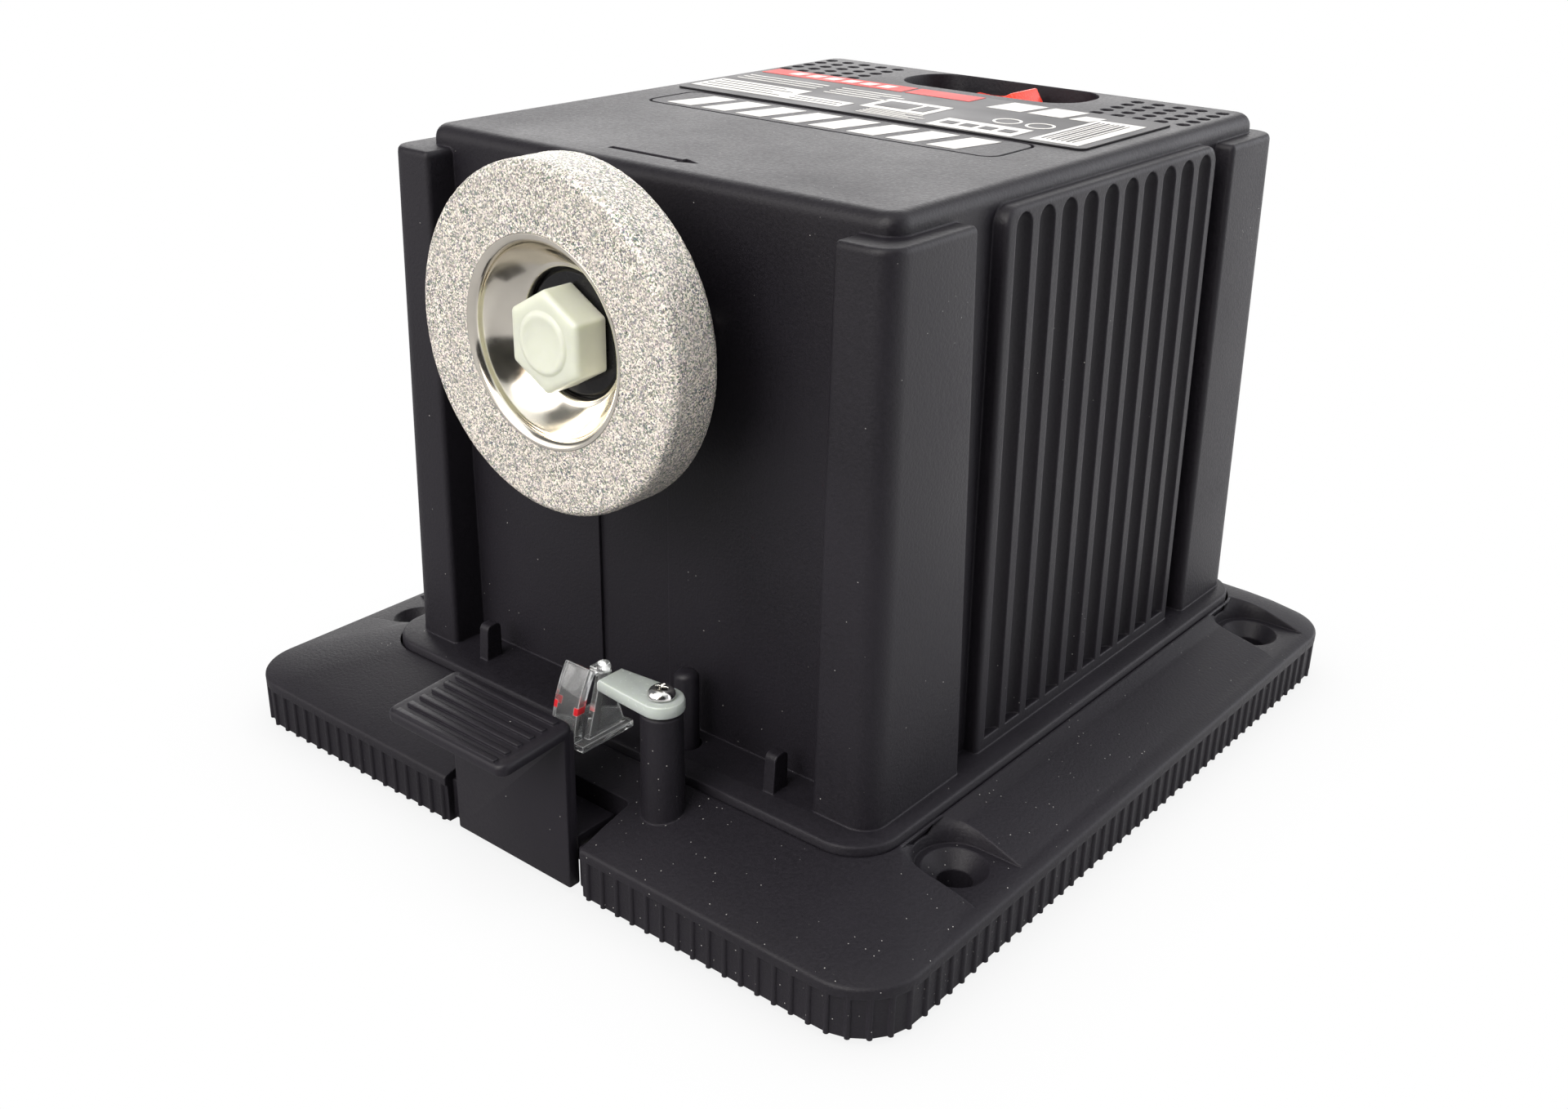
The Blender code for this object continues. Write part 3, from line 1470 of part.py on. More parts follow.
clear_scene()
PARTS = make_collection("bench_sharpener")
TOOLS = make_collection("cutters")
MATERIALS = {
    "base": make_material("black_base", BLACK, 0.55),
    "housing": make_material("black_housing", BLACK, 0.50),
    "rubber": make_material("foot_rubber", (0.02, 0.02, 0.02), 0.90),
    "steel": make_material("zinc_steel", (0.62, 0.62, 0.60), 0.35, 1.0),
    "label": make_material("label_film", (0.05, 0.05, 0.055), 0.35),
    "switch": make_material("switch_black", (0.02, 0.02, 0.02), 0.40),
    "rocker": make_material("rocker_red", (0.75, 0.03, 0.03), 0.30),
    "grit": make_material("diamond_grit", (0.62, 0.60, 0.55), 0.55, 0.6),
    "hub": make_material("hub_black", (0.04, 0.04, 0.045), 0.40),
    "nut": make_material("milky_nylon", (0.82, 0.84, 0.78), 0.35),
    "bronze": make_material("sintered_bronze", (0.55, 0.38, 0.20), 0.45, 1.0),
    "ferrite": make_material("ferrite", (0.06, 0.06, 0.065), 0.60),
    "bell": make_material("bell_white", (0.75, 0.74, 0.70), 0.50),
    "carbon": make_material("brush_carbon", (0.05, 0.045, 0.045), 0.70),
    "spring": make_material("spring_steel", (0.55, 0.55, 0.55), 0.30, 1.0),
    "copper": make_material("copper", (0.70, 0.32, 0.15), 0.35, 1.0),
    "fan": make_material("fan_grey", (0.25, 0.25, 0.26), 0.50),
    "lever": make_material("lever_black", BLACK, 0.50),
    "chrome": make_material("bright_plate", (0.75, 0.75, 0.73), 0.15, 1.0),
    "clear": make_material("clear_acrylic", (0.85, 0.88, 0.88), 0.05),
    "board": make_material("board_green", (0.05, 0.22, 0.10), 0.50),
    "component": make_material("component_black", (0.03, 0.03, 0.03), 0.45),
    "capacitor": make_material("capacitor_yellow", (0.80, 0.60, 0.08), 0.40),
    "cord": make_material("cord_black", (0.025, 0.025, 0.025), 0.60),
    "switch_lead": make_material("lead_brown", (0.20, 0.08, 0.03), 0.45),
    "cord_lead": make_material("lead_blue", (0.03, 0.12, 0.50), 0.45),
    "motor_lead": make_material("lead_red", (0.60, 0.03, 0.03), 0.45),
}
build_base()
build_housing()
build_bottom()
build_label()
build_switch()
build_wheel()
build_motor()
build_lever()
build_gauge()
build_plunger()
build_electrics()
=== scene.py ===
"""Looks of a small mains bench sharpener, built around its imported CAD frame."""

import json
import math
import random

import bmesh
import bpy
from mathutils import Matrix, Vector, noise


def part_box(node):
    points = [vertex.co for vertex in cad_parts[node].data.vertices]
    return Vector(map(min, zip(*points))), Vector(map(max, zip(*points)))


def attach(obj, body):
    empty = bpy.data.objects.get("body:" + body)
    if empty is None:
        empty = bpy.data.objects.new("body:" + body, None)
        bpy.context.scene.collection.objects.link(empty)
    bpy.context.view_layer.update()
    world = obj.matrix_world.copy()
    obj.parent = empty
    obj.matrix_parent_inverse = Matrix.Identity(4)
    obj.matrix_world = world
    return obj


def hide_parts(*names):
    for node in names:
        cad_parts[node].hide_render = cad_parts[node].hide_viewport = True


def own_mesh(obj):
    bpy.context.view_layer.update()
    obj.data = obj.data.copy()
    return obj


MM = 0.001
GAP = 0.3 * MM

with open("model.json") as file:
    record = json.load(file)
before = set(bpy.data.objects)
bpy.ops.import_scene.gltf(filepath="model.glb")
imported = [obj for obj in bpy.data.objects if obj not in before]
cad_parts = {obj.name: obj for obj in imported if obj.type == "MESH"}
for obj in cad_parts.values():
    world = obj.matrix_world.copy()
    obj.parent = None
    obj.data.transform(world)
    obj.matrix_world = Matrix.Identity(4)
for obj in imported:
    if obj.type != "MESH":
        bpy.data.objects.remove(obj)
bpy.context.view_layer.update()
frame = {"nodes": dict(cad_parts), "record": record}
CAD_NODES = frame["nodes"]
REPLACED = set()

# Sizes and places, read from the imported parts
BASE_LOW, BASE_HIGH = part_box("base_plate")
HOUSING_LOW, HOUSING_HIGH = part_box("upper_housing")
WHEEL_LOW, WHEEL_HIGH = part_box("grinding_wheel")
NUT_LOW, NUT_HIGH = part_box("wheel_nut")
HUB_LOW, HUB_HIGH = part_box("wheel_hub")
LEVER_LOW, LEVER_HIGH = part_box("thumb_lever")
ARM_LOW, ARM_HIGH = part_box("gauge_arm")
SCREW_LOW, SCREW_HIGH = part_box("gauge_screw")
SIGHT_LOW, SIGHT_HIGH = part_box("sight_piece")
PLUNGER_LOW, PLUNGER_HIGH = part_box("interlock_plunger")
LABEL_LOW, LABEL_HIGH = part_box("rating_label")
SWITCH_LOW, SWITCH_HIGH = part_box("switch_body")
ROCKER_LOW, ROCKER_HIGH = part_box("switch_rocker")
PIN_LOW, PIN_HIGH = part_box("lever_pin")
CORD_LOW, CORD_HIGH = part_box("power_cord")
RELIEF_LOW, RELIEF_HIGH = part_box("strain_relief")
PLUG_LOW, PLUG_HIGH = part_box("plug_body")

SHAFT_Z = (WHEEL_LOW.z + WHEEL_HIGH.z) / 2.0
SWITCH_Y = (SWITCH_LOW.y + SWITCH_HIGH.y) / 2.0


# ---------------------------------------------------------------- mesh helpers

def to_object(name, bm, smooth_angle=35.0):
    bmesh.ops.recalc_face_normals(bm, faces=bm.faces)
    mesh = bpy.data.meshes.new(name)
    bm.to_mesh(mesh)
    bm.free()
    mesh.shade_smooth()
    mesh.set_sharp_from_angle(angle=math.radians(smooth_angle))
    obj = bpy.data.objects.new(name, mesh)
    bpy.context.scene.collection.objects.link(obj)
    return obj


def rounded_plan(plan, radius, z, inset=0.0, steps=8):
    """A level rounded rectangle, counter-clockwise, as a ring of points."""
    x0, x1, y0, y1 = plan
    x0, x1, y0, y1 = x0 + inset, x1 - inset, y0 + inset, y1 - inset
    radius = max(radius - inset, 0.2 * MM)
    ring = []
    for x, y, start in ((x1, y1, 0.0), (x0, y1, 90.0), (x0, y0, 180.0), (x1, y0, 270.0)):
        centre_x = x - math.copysign(radius, x - (x0 + x1) / 2.0)
        centre_y = y - math.copysign(radius, y - (y0 + y1) / 2.0)
        for step in range(steps + 1):
            angle = math.radians(start + 90.0 * step / steps)
            px = centre_x + radius * math.cos(angle)
            py = centre_y + radius * math.sin(angle)
            ring.append(Vector((px, py, z)))
    return ring


def corner_plan(plan, radii, z, inset, steps=8):
    """A level rectangle whose corners are rounded one by one, as a ring of points."""
    x0, x1, y0, y1 = plan
    corners = (
        (x1 - inset, y1 - inset, 0.0),
        (x0 + inset, y1 - inset, 90.0),
        (x0 + inset, y0 + inset, 180.0),
        (x1 - inset, y0 + inset, 270.0),
    )
    ring = []
    for (x, y, start), full in zip(corners, radii):
        radius = max(full - inset, 0.25 * MM)
        centre_x = x - math.copysign(radius, x - (x0 + x1) / 2.0)
        centre_y = y - math.copysign(radius, y - (y0 + y1) / 2.0)
        for step in range(steps + 1):
            angle = math.radians(start + 90.0 * step / steps)
            ring.append(Vector((centre_x + radius * math.cos(angle), centre_y + radius * math.sin(angle), z)))
    return ring


def loft(name, rings, smooth_angle=35.0):
    bm = bmesh.new()
    rows = [[bm.verts.new(point) for point in ring] for ring in rings]
    count = len(rows[0])
    for lower, upper in zip(rows, rows[1:]):
        for i in range(count):
            j = (i + 1) % count
            bm.faces.new((lower[i], lower[j], upper[j], upper[i]))
    bm.faces.new(list(reversed(rows[0])))
    bm.faces.new(rows[-1])
    return to_object(name, bm, smooth_angle)


def prism(name, outline, axis, low, high, bevel=0.0, segments=2):
    place = {
        "X": lambda a, b, depth: Vector((depth, a, b)),
        "Y": lambda a, b, depth: Vector((a, depth, b)),
        "Z": lambda a, b, depth: Vector((a, b, depth)),
    }[axis]
    bm = bmesh.new()
    face = bm.faces.new([bm.verts.new(place(a, b, low)) for a, b in outline])
    grown = bmesh.ops.extrude_face_region(bm, geom=[face])
    moved = [item for item in grown["geom"] if isinstance(item, bmesh.types.BMVert)]
    bmesh.ops.translate(bm, vec=place(0.0, 0.0, high - low), verts=moved)
    if bevel > 0.0:
        bmesh.ops.recalc_face_normals(bm, faces=bm.faces)
        bmesh.ops.bevel(bm, geom=bm.edges, offset=bevel, segments=segments, profile=0.5, affect="EDGES")
    return to_object(name, bm)


def box(name, low, high, bevel=0.0, segments=3):
    low, high = Vector(low), Vector(high)
    bm = bmesh.new()
    bmesh.ops.create_cube(bm, size=1.0)
    bmesh.ops.scale(bm, vec=high - low, verts=bm.verts)
    bmesh.ops.translate(bm, vec=(low + high) / 2.0, verts=bm.verts)
    if bevel > 0.0:
        bmesh.ops.bevel(bm, geom=bm.edges, offset=bevel, segments=segments, profile=0.5, affect="EDGES")
    return to_object(name, bm)


def rod(name, start, end, radius, segments=48, end_radius=None):
    start, end = Vector(start), Vector(end)
    along = end - start
    bm = bmesh.new()
    bmesh.ops.create_cone(
        bm,
        cap_ends=True,
        segments=segments,
        radius1=radius,
        radius2=radius if end_radius is None else end_radius,
        depth=along.length,
    )
    turn = along.to_track_quat("Z", "Y").to_matrix().to_4x4()
    bmesh.ops.transform(bm, matrix=Matrix.Translation((start + end) / 2.0) @ turn, verts=bm.verts)
    return to_object(name, bm)


def lathe(name, profile, centre, axis="Z", steps=96, smooth_angle=40.0):
    """Turns (radius, height) points about an axis. Axis "Y" takes the height as world y."""
    centre = Vector(centre)
    bm = bmesh.new()
    rows = []
    for radius, height in profile:
        if radius < 1e-7:
            count = 1
        else:
            count = steps
        row = []
        for step in range(count):
            angle = math.tau * step / steps
            across = Vector((radius * math.cos(angle), radius * math.sin(angle)))
            if axis == "Z":
                point = Vector((across.x, across.y, height))
            else:
                point = Vector((across.x, height, across.y))
            row.append(bm.verts.new(centre + point))
        rows.append(row)
    closed = len(rows[0]) > 1 and len(rows[-1]) > 1
    pairs = list(zip(rows, rows[1:]))
    if closed:
        pairs.append((rows[-1], rows[0]))
    for lower, upper in pairs:
        for i in range(steps):
            j = (i + 1) % steps
            corners = [lower[i % len(lower)], lower[j % len(lower)]]
            corners += [upper[j % len(upper)], upper[i % len(upper)]]
            unique = []
            for vert in corners:
                if vert not in unique:
                    unique.append(vert)
            if len(unique) > 2:
                bm.faces.new(unique)
    return to_object(name, bm, smooth_angle)


def combine(obj, steps, smooth_angle=35.0):
    """Applies (operation, cutters) pairs to an object and drops the cutters."""
    used = []
    for operation, others in steps:
        for other in others:
            modifier = obj.modifiers.new(other.name, "BOOLEAN")
            modifier.operation = operation
            modifier.object = other
            modifier.solver = "EXACT"
            used.append(other)
    bpy.context.view_layer.update()
    evaluated = obj.evaluated_get(bpy.context.evaluated_depsgraph_get())
    mesh = bpy.data.meshes.new_from_object(evaluated)
    obj.modifiers.clear()
    obj.data = mesh
    mesh.shade_smooth()
    mesh.set_sharp_from_angle(angle=math.radians(smooth_angle))
    for other in used:
        bpy.data.objects.remove(other, do_unlink=True)
    return obj


def joined(name, objects):
    """One mesh from several separate solids."""
    bm = bmesh.new()
    for obj in objects:
        bm.from_mesh(obj.data)
        bpy.data.objects.remove(obj, do_unlink=True)
    return to_object(name, bm)


def soften(obj, width, segments=2, angle=40.0):
    """Rounds an object's sharp edges for good."""
    modifier = obj.modifiers.new("Soften", "BEVEL")
    modifier.width = width
    modifier.segments = segments
    modifier.limit_method = "ANGLE"
    modifier.angle_limit = math.radians(angle)
    modifier.use_clamp_overlap = True
    return combine(obj, [], 50.0)


def arc(centre, radius, start, end, steps):
    points = []
    for step in range(steps + 1):
        angle = math.radians(start + (end - start) * step / steps)
        points.append((centre[0] + radius * math.cos(angle), centre[1] + radius * math.sin(angle)))
    return points


def dress(obj, material, slot, body, *replaced):
    """Gives a piece its material, its body and the CAD nodes it stands for."""
    obj.data.materials.clear()
    obj.data.materials.append(material)
    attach(obj, body)
    if replaced:
        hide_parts(*replaced)
        REPLACED.update(replaced)
    return obj


# ---------------------------------------------------------------- materials

class Look:
    """A node material under construction."""

    def __init__(self, name):
        self.material = bpy.data.materials.new(name)
        self.material.use_nodes = True
        self.tree = self.material.node_tree
        self.shader = self.tree.nodes["Principled BSDF"]
        self.coord = self.tree.nodes.new("ShaderNodeTexCoord").outputs["Object"]

    def set(self, **values):
        for name, value in values.items():
            self.put(self.shader.inputs[name.replace("_", " ")], value)
        return self

    def put(self, socket, value):
        if isinstance(value, bpy.types.NodeSocket):
            self.tree.links.new(value, socket)
        elif isinstance(value, tuple) and len(value) == 3 and socket.type == "RGBA":
            socket.default_value = (*value, 1.0)
        else:
            socket.default_value = value

    def noise(self, scale, detail=3.0, roughness=0.55, vector=None):
        node = self.tree.nodes.new("ShaderNodeTexNoise")
        self.put(node.inputs["Vector"], vector or self.coord)
        node.inputs["Scale"].default_value = scale
        node.inputs["Detail"].default_value = detail
        node.inputs["Roughness"].default_value = roughness
        return node.outputs["Fac"]

    def cells(self, scale, feature="F1"):
        node = self.tree.nodes.new("ShaderNodeTexVoronoi")
        node.feature = feature
        self.put(node.inputs["Vector"], self.coord)
        node.inputs["Scale"].default_value = scale
        return node

    def span(self, value, low, high, to_low, to_high, smooth=False):
        node = self.tree.nodes.new("ShaderNodeMapRange")
        node.interpolation_type = "SMOOTHSTEP" if smooth else "LINEAR"
        self.put(node.inputs["Value"], value)
        for name, number in (("From Min", low), ("From Max", high), ("To Min", to_low), ("To Max", to_high)):
            node.inputs[name].default_value = number
        return node.outputs["Result"]

    def sum(self, operation, first, second=0.0):
        node = self.tree.nodes.new("ShaderNodeMath")
        node.operation = operation
        self.put(node.inputs[0], first)
        self.put(node.inputs[1], second)
        return node.outputs["Value"]

    def mix(self, factor, first, second):
        node = self.tree.nodes.new("ShaderNodeMix")
        node.data_type = "RGBA"
        self.put(node.inputs[0], factor)
        self.put(node.inputs[6], first)
        self.put(node.inputs[7], second)
        return node.outputs[2]

    def ramp(self, value, stops):
        node = self.tree.nodes.new("ShaderNodeValToRGB")
        self.put(node.inputs["Fac"], value)
        elements = node.color_ramp.elements
        while len(elements) < len(stops):
            elements.new(0.5)
        for element, (position, colour) in zip(elements, stops):
            element.position = position
            element.color = (*colour, 1.0)
        return node.outputs["Color"]

    def axis(self, index):
        node = self.tree.nodes.new("ShaderNodeSeparateXYZ")
        self.put(node.inputs[0], self.coord)
        return node.outputs[index]

    def round_edges(self, radius, samples=4):
        node = self.tree.nodes.new("ShaderNodeBevel")
        node.samples = samples
        node.inputs["Radius"].default_value = radius
        return node.outputs["Normal"]

    def edge_mask(self, rounded, low=0.985, high=0.80):
        flat = self.tree.nodes.new("ShaderNodeNewGeometry").outputs["Normal"]
        node = self.tree.nodes.new("ShaderNodeVectorMath")
        node.operation = "DOT_PRODUCT"
        self.put(node.inputs[0], rounded)
        self.put(node.inputs[1], flat)
        return self.span(node.outputs["Value"], high, low, 1.0, 0.0)

    def bump(self, height, strength, distance, normal=None):
        node = self.tree.nodes.new("ShaderNodeBump")
        node.inputs["Strength"].default_value = strength
        node.inputs["Distance"].default_value = distance
        self.put(node.inputs["Height"], height)
        if normal is not None:
            self.put(node.inputs["Normal"], normal)
        return node.outputs["Normal"]


def shade(colour, factor):
    return tuple(channel * factor for channel in colour)


def moulded(name, colour, roughness, edge=0.3 * MM, grain=0.30, specks=0.0, edge_wear_and_highlight_level=0.45, specular=0.25):
    """Moulded plastic: spark-eroded grain, faint flow shading, rounded edges painted lighter as rubbed wear and as
    painted highlight, dust.
    """
    look = Look(name)
    fine = look.noise(1900.0, 3.0, 0.6)
    flow = look.noise(38.0, 2.0)
    rounded = look.round_edges(edge)
    edge_wear_and_highlight = look.edge_mask(rounded)
    tint = look.mix(look.span(flow, 0.3, 0.7, 0.0, 1.0), shade(colour, 0.82), shade(colour, 1.22))
    tint = look.mix(look.span(fine, 0.35, 0.7, 0.0, 0.5), tint, shade(colour, 1.7))
    # Rounded edges painted lighter: partly rubbed wear, partly a painted highlight where edges catch the light.
    tint = look.mix(look.sum("MULTIPLY", edge_wear_and_highlight, edge_wear_and_highlight_level), tint, shade(colour, 4.0))
    gloss = look.span(flow, 0.3, 0.7, roughness - 0.04, roughness + 0.05)
    gloss = look.sum("ADD", gloss, look.span(fine, 0.3, 0.7, -0.05, 0.05))
    if specks > 0.0:
        dots = look.cells(1250.0)
        near = look.span(dots.outputs["Distance"], 0.07, 0.12, 1.0, 0.0)
        pick = look.span(look.noise(34.0, 1.0), 0.46, 0.58, 0.0, 1.0)
        chance = look.tree.nodes.new("ShaderNodeSeparateColor")
        look.put(chance.inputs[0], dots.outputs["Color"])
        some = look.sum("GREATER_THAN", chance.outputs[0], 1.0 - specks)
        dust = look.sum("MULTIPLY", look.sum("MULTIPLY", near, pick), some)
        tint = look.mix(dust, tint, (0.46, 0.45, 0.43))
    normal = look.bump(fine, min(1.0, grain * 1.7), 0.12 * MM, rounded)
    look.set(Base_Color=tint, Roughness=gloss, Normal=normal, Specular_IOR_Level=specular)
    return look.material


def metal(name, colour, roughness, scale=900.0, edge=0.15 * MM, streak=0.05):
    """Plated or rolled metal with fine scuffs and cloudy polish."""
    look = Look(name)
    scuff = look.noise(scale, 4.0, 0.65)
    cloud = look.noise(120.0, 3.0)
    rounded = look.round_edges(edge)
    tint = look.mix(look.span(cloud, 0.3, 0.7, 0.0, 1.0), shade(colour, 0.86), shade(colour, 1.06))
    gloss = look.span(scuff, 0.3, 0.75, roughness * 0.8, roughness * 1.25 + streak)
    normal = look.bump(scuff, 0.10, 0.02 * MM, rounded)
    look.set(Base_Color=tint, Metallic=1.0, Roughness=gloss, Normal=normal)
    return look.material


def diamond_grit(name):
    """Electroplated diamond: fine crystals of mixed brightness standing in nickel."""
    look = Look(name)
    crystals = look.cells(4700.0)
    pick = look.tree.nodes.new("ShaderNodeSeparateColor")
    look.put(pick.inputs[0], crystals.outputs["Color"])
    colour = look.ramp(
        pick.outputs[0],
        (
            (0.0, (0.060, 0.052, 0.045)),
            (0.26, (0.21, 0.19, 0.165)),
            (0.55, (0.52, 0.485, 0.425)),
            (0.86, (0.98, 0.93, 0.82)),
        ),
    )
    colour = look.mix(0.10, colour, crystals.outputs["Color"])
    blotch = look.noise(160.0, 3.0)
    warm = look.noise(420.0, 2.0)
    colour = look.mix(look.span(blotch, 0.35, 0.7, 0.0, 0.25), colour, (0.60, 0.565, 0.50))
    colour = look.mix(look.span(warm, 0.45, 0.75, 0.0, 0.25), colour, (0.62, 0.53, 0.50))
    gloss = look.span(pick.outputs[1], 0.0, 1.0, 0.28, 0.62)
    height = look.sum("ADD", pick.outputs[2], look.sum("MULTIPLY", crystals.outputs["Distance"], -1.0))
    normal = look.bump(height, 0.65, 0.08 * MM)
    look.set(Base_Color=colour, Metallic=0.2, Roughness=gloss, Normal=normal)
    return look.material


def nylon(name, colour, roughness, depth=2.2 * MM, edges=0.15):
    """Natural nylon: milky, light passing through its edges, faint mould marks."""
    look = Look(name)
    cloud = look.noise(140.0, 3.0)
    fine = look.noise(1500.0, 2.0)
    rounded = look.round_edges(0.35 * MM, 6)
    tint = look.mix(look.span(cloud, 0.3, 0.7, 0.0, 1.0), shade(colour, 0.88), colour)
    tint = look.mix(look.sum("MULTIPLY", look.edge_mask(rounded), edges), tint, (0.86, 0.90, 0.86))
    look.set(
        Base_Color=tint,
        Roughness=look.span(fine, 0.3, 0.7, roughness - 0.05, roughness + 0.07),
        Normal=look.bump(fine, 0.06, 0.03 * MM, rounded),
        Subsurface_Weight=0.75,
        Subsurface_Scale=1.0,
    )
    look.shader.inputs["Subsurface Radius"].default_value = (depth, depth * 1.05, depth * 0.8)
    return look.material


def acrylic(name):
    """Clear moulded acrylic with faint sink marks and red index marks at its side edges."""
    look = Look(name)
    ripple = look.noise(260.0, 2.0)
    height = look.axis(2)
    side = look.axis(0)
    foot = SIGHT_LOW.z
    low = look.span(height, foot + 5.4 * MM, foot + 5.6 * MM, 0.0, 1.0)
    high = look.span(height, foot + 6.6 * MM, foot + 6.8 * MM, 1.0, 0.0)
    left = look.span(side, SIGHT_LOW.x + 2.7 * MM, SIGHT_LOW.x + 2.9 * MM, 1.0, 0.0)
    right = look.span(side, SIGHT_HIGH.x - 2.7 * MM, SIGHT_HIGH.x - 2.5 * MM, 0.0, 1.0)
    front = look.span(look.axis(1), SIGHT_LOW.y + 3.4 * MM, SIGHT_LOW.y + 3.8 * MM, 1.0, 0.0)
    line = look.sum("MULTIPLY", look.sum("MULTIPLY", low, high), look.sum("MAXIMUM", left, right))
    line = look.sum("MULTIPLY", line, front)
    rounded = look.round_edges(0.34 * MM, 6)
    glint = look.sum("MULTIPLY", look.edge_mask(rounded), 0.88)
    weight = look.sum("SUBTRACT", look.span(line, 0.0, 1.0, 0.94, 0.30), glint)
    look.set(
        Base_Color=look.mix(line, (0.93, 0.95, 0.945), (0.85, 0.03, 0.04)),
        Roughness=look.span(ripple, 0.3, 0.7, 0.02, 0.08),
        Transmission_Weight=look.sum("MAXIMUM", weight, 0.05),
        IOR=1.49,
        Normal=look.bump(ripple, 0.12, 0.06 * MM, rounded),
    )
    return look.material


def film(name, colour, roughness=0.44, specular=0.22):
    """Printed film: a faint screen of ink and soft gloss."""
    look = Look(name)
    ink = look.noise(1800.0, 2.0)
    wave = look.noise(60.0, 2.0)
    tint = look.mix(look.span(ink, 0.35, 0.7, 0.0, 1.0), shade(colour, 0.90), shade(colour, 1.08))
    look.set(
        Base_Color=tint,
        Roughness=look.span(wave, 0.3, 0.7, roughness - 0.04, roughness + 0.08),
        Normal=look.bump(ink, 0.05, 0.02 * MM),
        Specular_IOR_Level=specular,
    )
    return look.material


BLACK = (0.0090, 0.0079, 0.0106)
LOOKS = {
    "base": moulded("black_base_grain", BLACK, 0.50, edge=0.45 * MM, grain=0.34, specks=0.20),
    "housing": moulded("black_housing_grain", BLACK, 0.47, edge=0.45 * MM, grain=0.26, specks=0.03),
    "lever": moulded("black_lever_satin", shade(BLACK, 1.15), 0.42, edge=0.2 * MM, grain=0.10, specks=0.02),
    "gloss_black": moulded("black_gloss_moulding", (0.008, 0.008, 0.009), 0.20, edge=0.2 * MM, grain=0.05, edge_wear_and_highlight_level=0.1),
    "rubber": moulded("foot_rubber_matte", (0.016, 0.016, 0.016), 0.80, grain=0.40),
    "cord": moulded("cord_sheath_satin", (0.013, 0.013, 0.014), 0.52, edge=0.3 * MM, grain=0.20, edge_wear_and_highlight_level=0.15),
    "bell": moulded("bell_ivory", (0.62, 0.60, 0.54), 0.45, grain=0.15, edge_wear_and_highlight_level=0.0),
    "fan": moulded("fan_grey", (0.16, 0.16, 0.17), 0.50, grain=0.15),
    "carbon": moulded("brush_graphite", (0.03, 0.03, 0.032), 0.65, grain=0.45, edge_wear_and_highlight_level=0.2),
    "ferrite": moulded("ferrite_ground", (0.05, 0.05, 0.055), 0.60, grain=0.40, edge_wear_and_highlight_level=0.2),
    "board": moulded("board_solder_mask", (0.02, 0.16, 0.06), 0.35, grain=0.08, edge_wear_and_highlight_level=0.1),
    "component": moulded("component_epoxy", (0.020, 0.020, 0.022), 0.38, grain=0.18, edge_wear_and_highlight_level=0.2),
    "capacitor": moulded("capacitor_dip", (0.72, 0.48, 0.04), 0.32, grain=0.06, edge_wear_and_highlight_level=0.0),
    "lead": moulded("lead_insulation", (0.14, 0.05, 0.02), 0.35, grain=0.06, edge_wear_and_highlight_level=0.0),
    "rocker": moulded("rocker_red_gloss", (0.80, 0.045, 0.022), 0.25, edge=0.3 * MM, grain=0.04, edge_wear_and_highlight_level=0.0),
    "steel": metal("zinc_plated_steel", (0.66, 0.65, 0.62), 0.34),
    "bright": metal("bright_nickel_screw", (0.86, 0.85, 0.82), 0.10),
    "nickel": metal("polished_nickel_core", (0.88, 0.83, 0.72), 0.13, scale=260.0),
    "copper": metal("copper_wire", (0.78, 0.38, 0.20), 0.30),
    "bronze": metal("sintered_bronze", (0.56, 0.38, 0.18), 0.48, scale=2400.0),
    "spring": metal("drawn_spring_wire", (0.60, 0.60, 0.60), 0.25),
    "grit": diamond_grit("diamond_grit_plating"),
    "nut": nylon("milky_nylon_nut", (0.63, 0.65, 0.55), 0.34),
    "arm": nylon("milky_nylon_arm", (0.42, 0.455, 0.43), 0.22, depth=1.6 * MM, edges=0.65),
    "clear": acrylic("clear_acrylic_sight"),
    "label": film("label_grey_ink", (0.030, 0.029, 0.031)),
    "label_white": film("label_white_ink", (0.62, 0.61, 0.58), 0.46),
    "label_red": film("label_red_ink", (0.52, 0.022, 0.016), 0.46),
}

CAD_LOOKS = {
    "black_plastic": "base",
    "steel": "steel",
    "copper": "copper",
    "component": "component",
    "carbon": "carbon",
    "spring_steel": "spring",
    "grey_plastic": "fan",
    "lead_insulation": "lead",
    "bronze": "bronze",
    "milky_nylon": "nut",
    "bright_screw": "bright",
    "diamond_grit": "grit",
    "ferrite": "ferrite",
    "white_plastic": "bell",
    "cord_sheath": "cord",
    "label_film": "label",
    "board": "board",
    "clear_acrylic": "clear",
    "capacitor": "capacitor",
    "red_rocker": "rocker",
    "rubber": "rubber",
}


# ---------------------------------------------------------------- base

BASE_X = BASE_HIGH.x
BASE_Y = BASE_HIGH.y
BASE_FOOT = BASE_LOW.z
BASE_CORNER = 10.0 * MM
RIDGE_Z = 9.4 * MM
RIB_PITCH = 3.0 * MM
RIB_TOP = 8.2 * MM
RIB_PROUD = 0.48 * MM
DECK_Z = 13.6 * MM
FOOT_PLAN = (HOUSING_LOW.x, HOUSING_HIGH.x, HOUSING_LOW.y, HOUSING_HIGH.y)
FOOT_CORNER = 8.0 * MM
FOOT_BOTTOM = 12.0 * MM
FOOT_TOP = 15.0 * MM
OPENING = (-49.5 * MM, 49.5 * MM, -51.5 * MM, 61.5 * MM)
HOLES = [(sx * 60.4 * MM, y) for sx in (-1.0, 1.0) for y in (-41.4 * MM, 57.2 * MM)]
SEAT_Z = 9.9 * MM
NOTCH_X = 15.2 * MM
NOTCH_BACK = -62.5 * MM
BEAD = ((-0.46, 0.0), (-0.41, 0.50), (-0.24, 0.88), (0.0, 1.0), (0.24, 0.88), (0.41, 0.50), (0.46, 0.0))


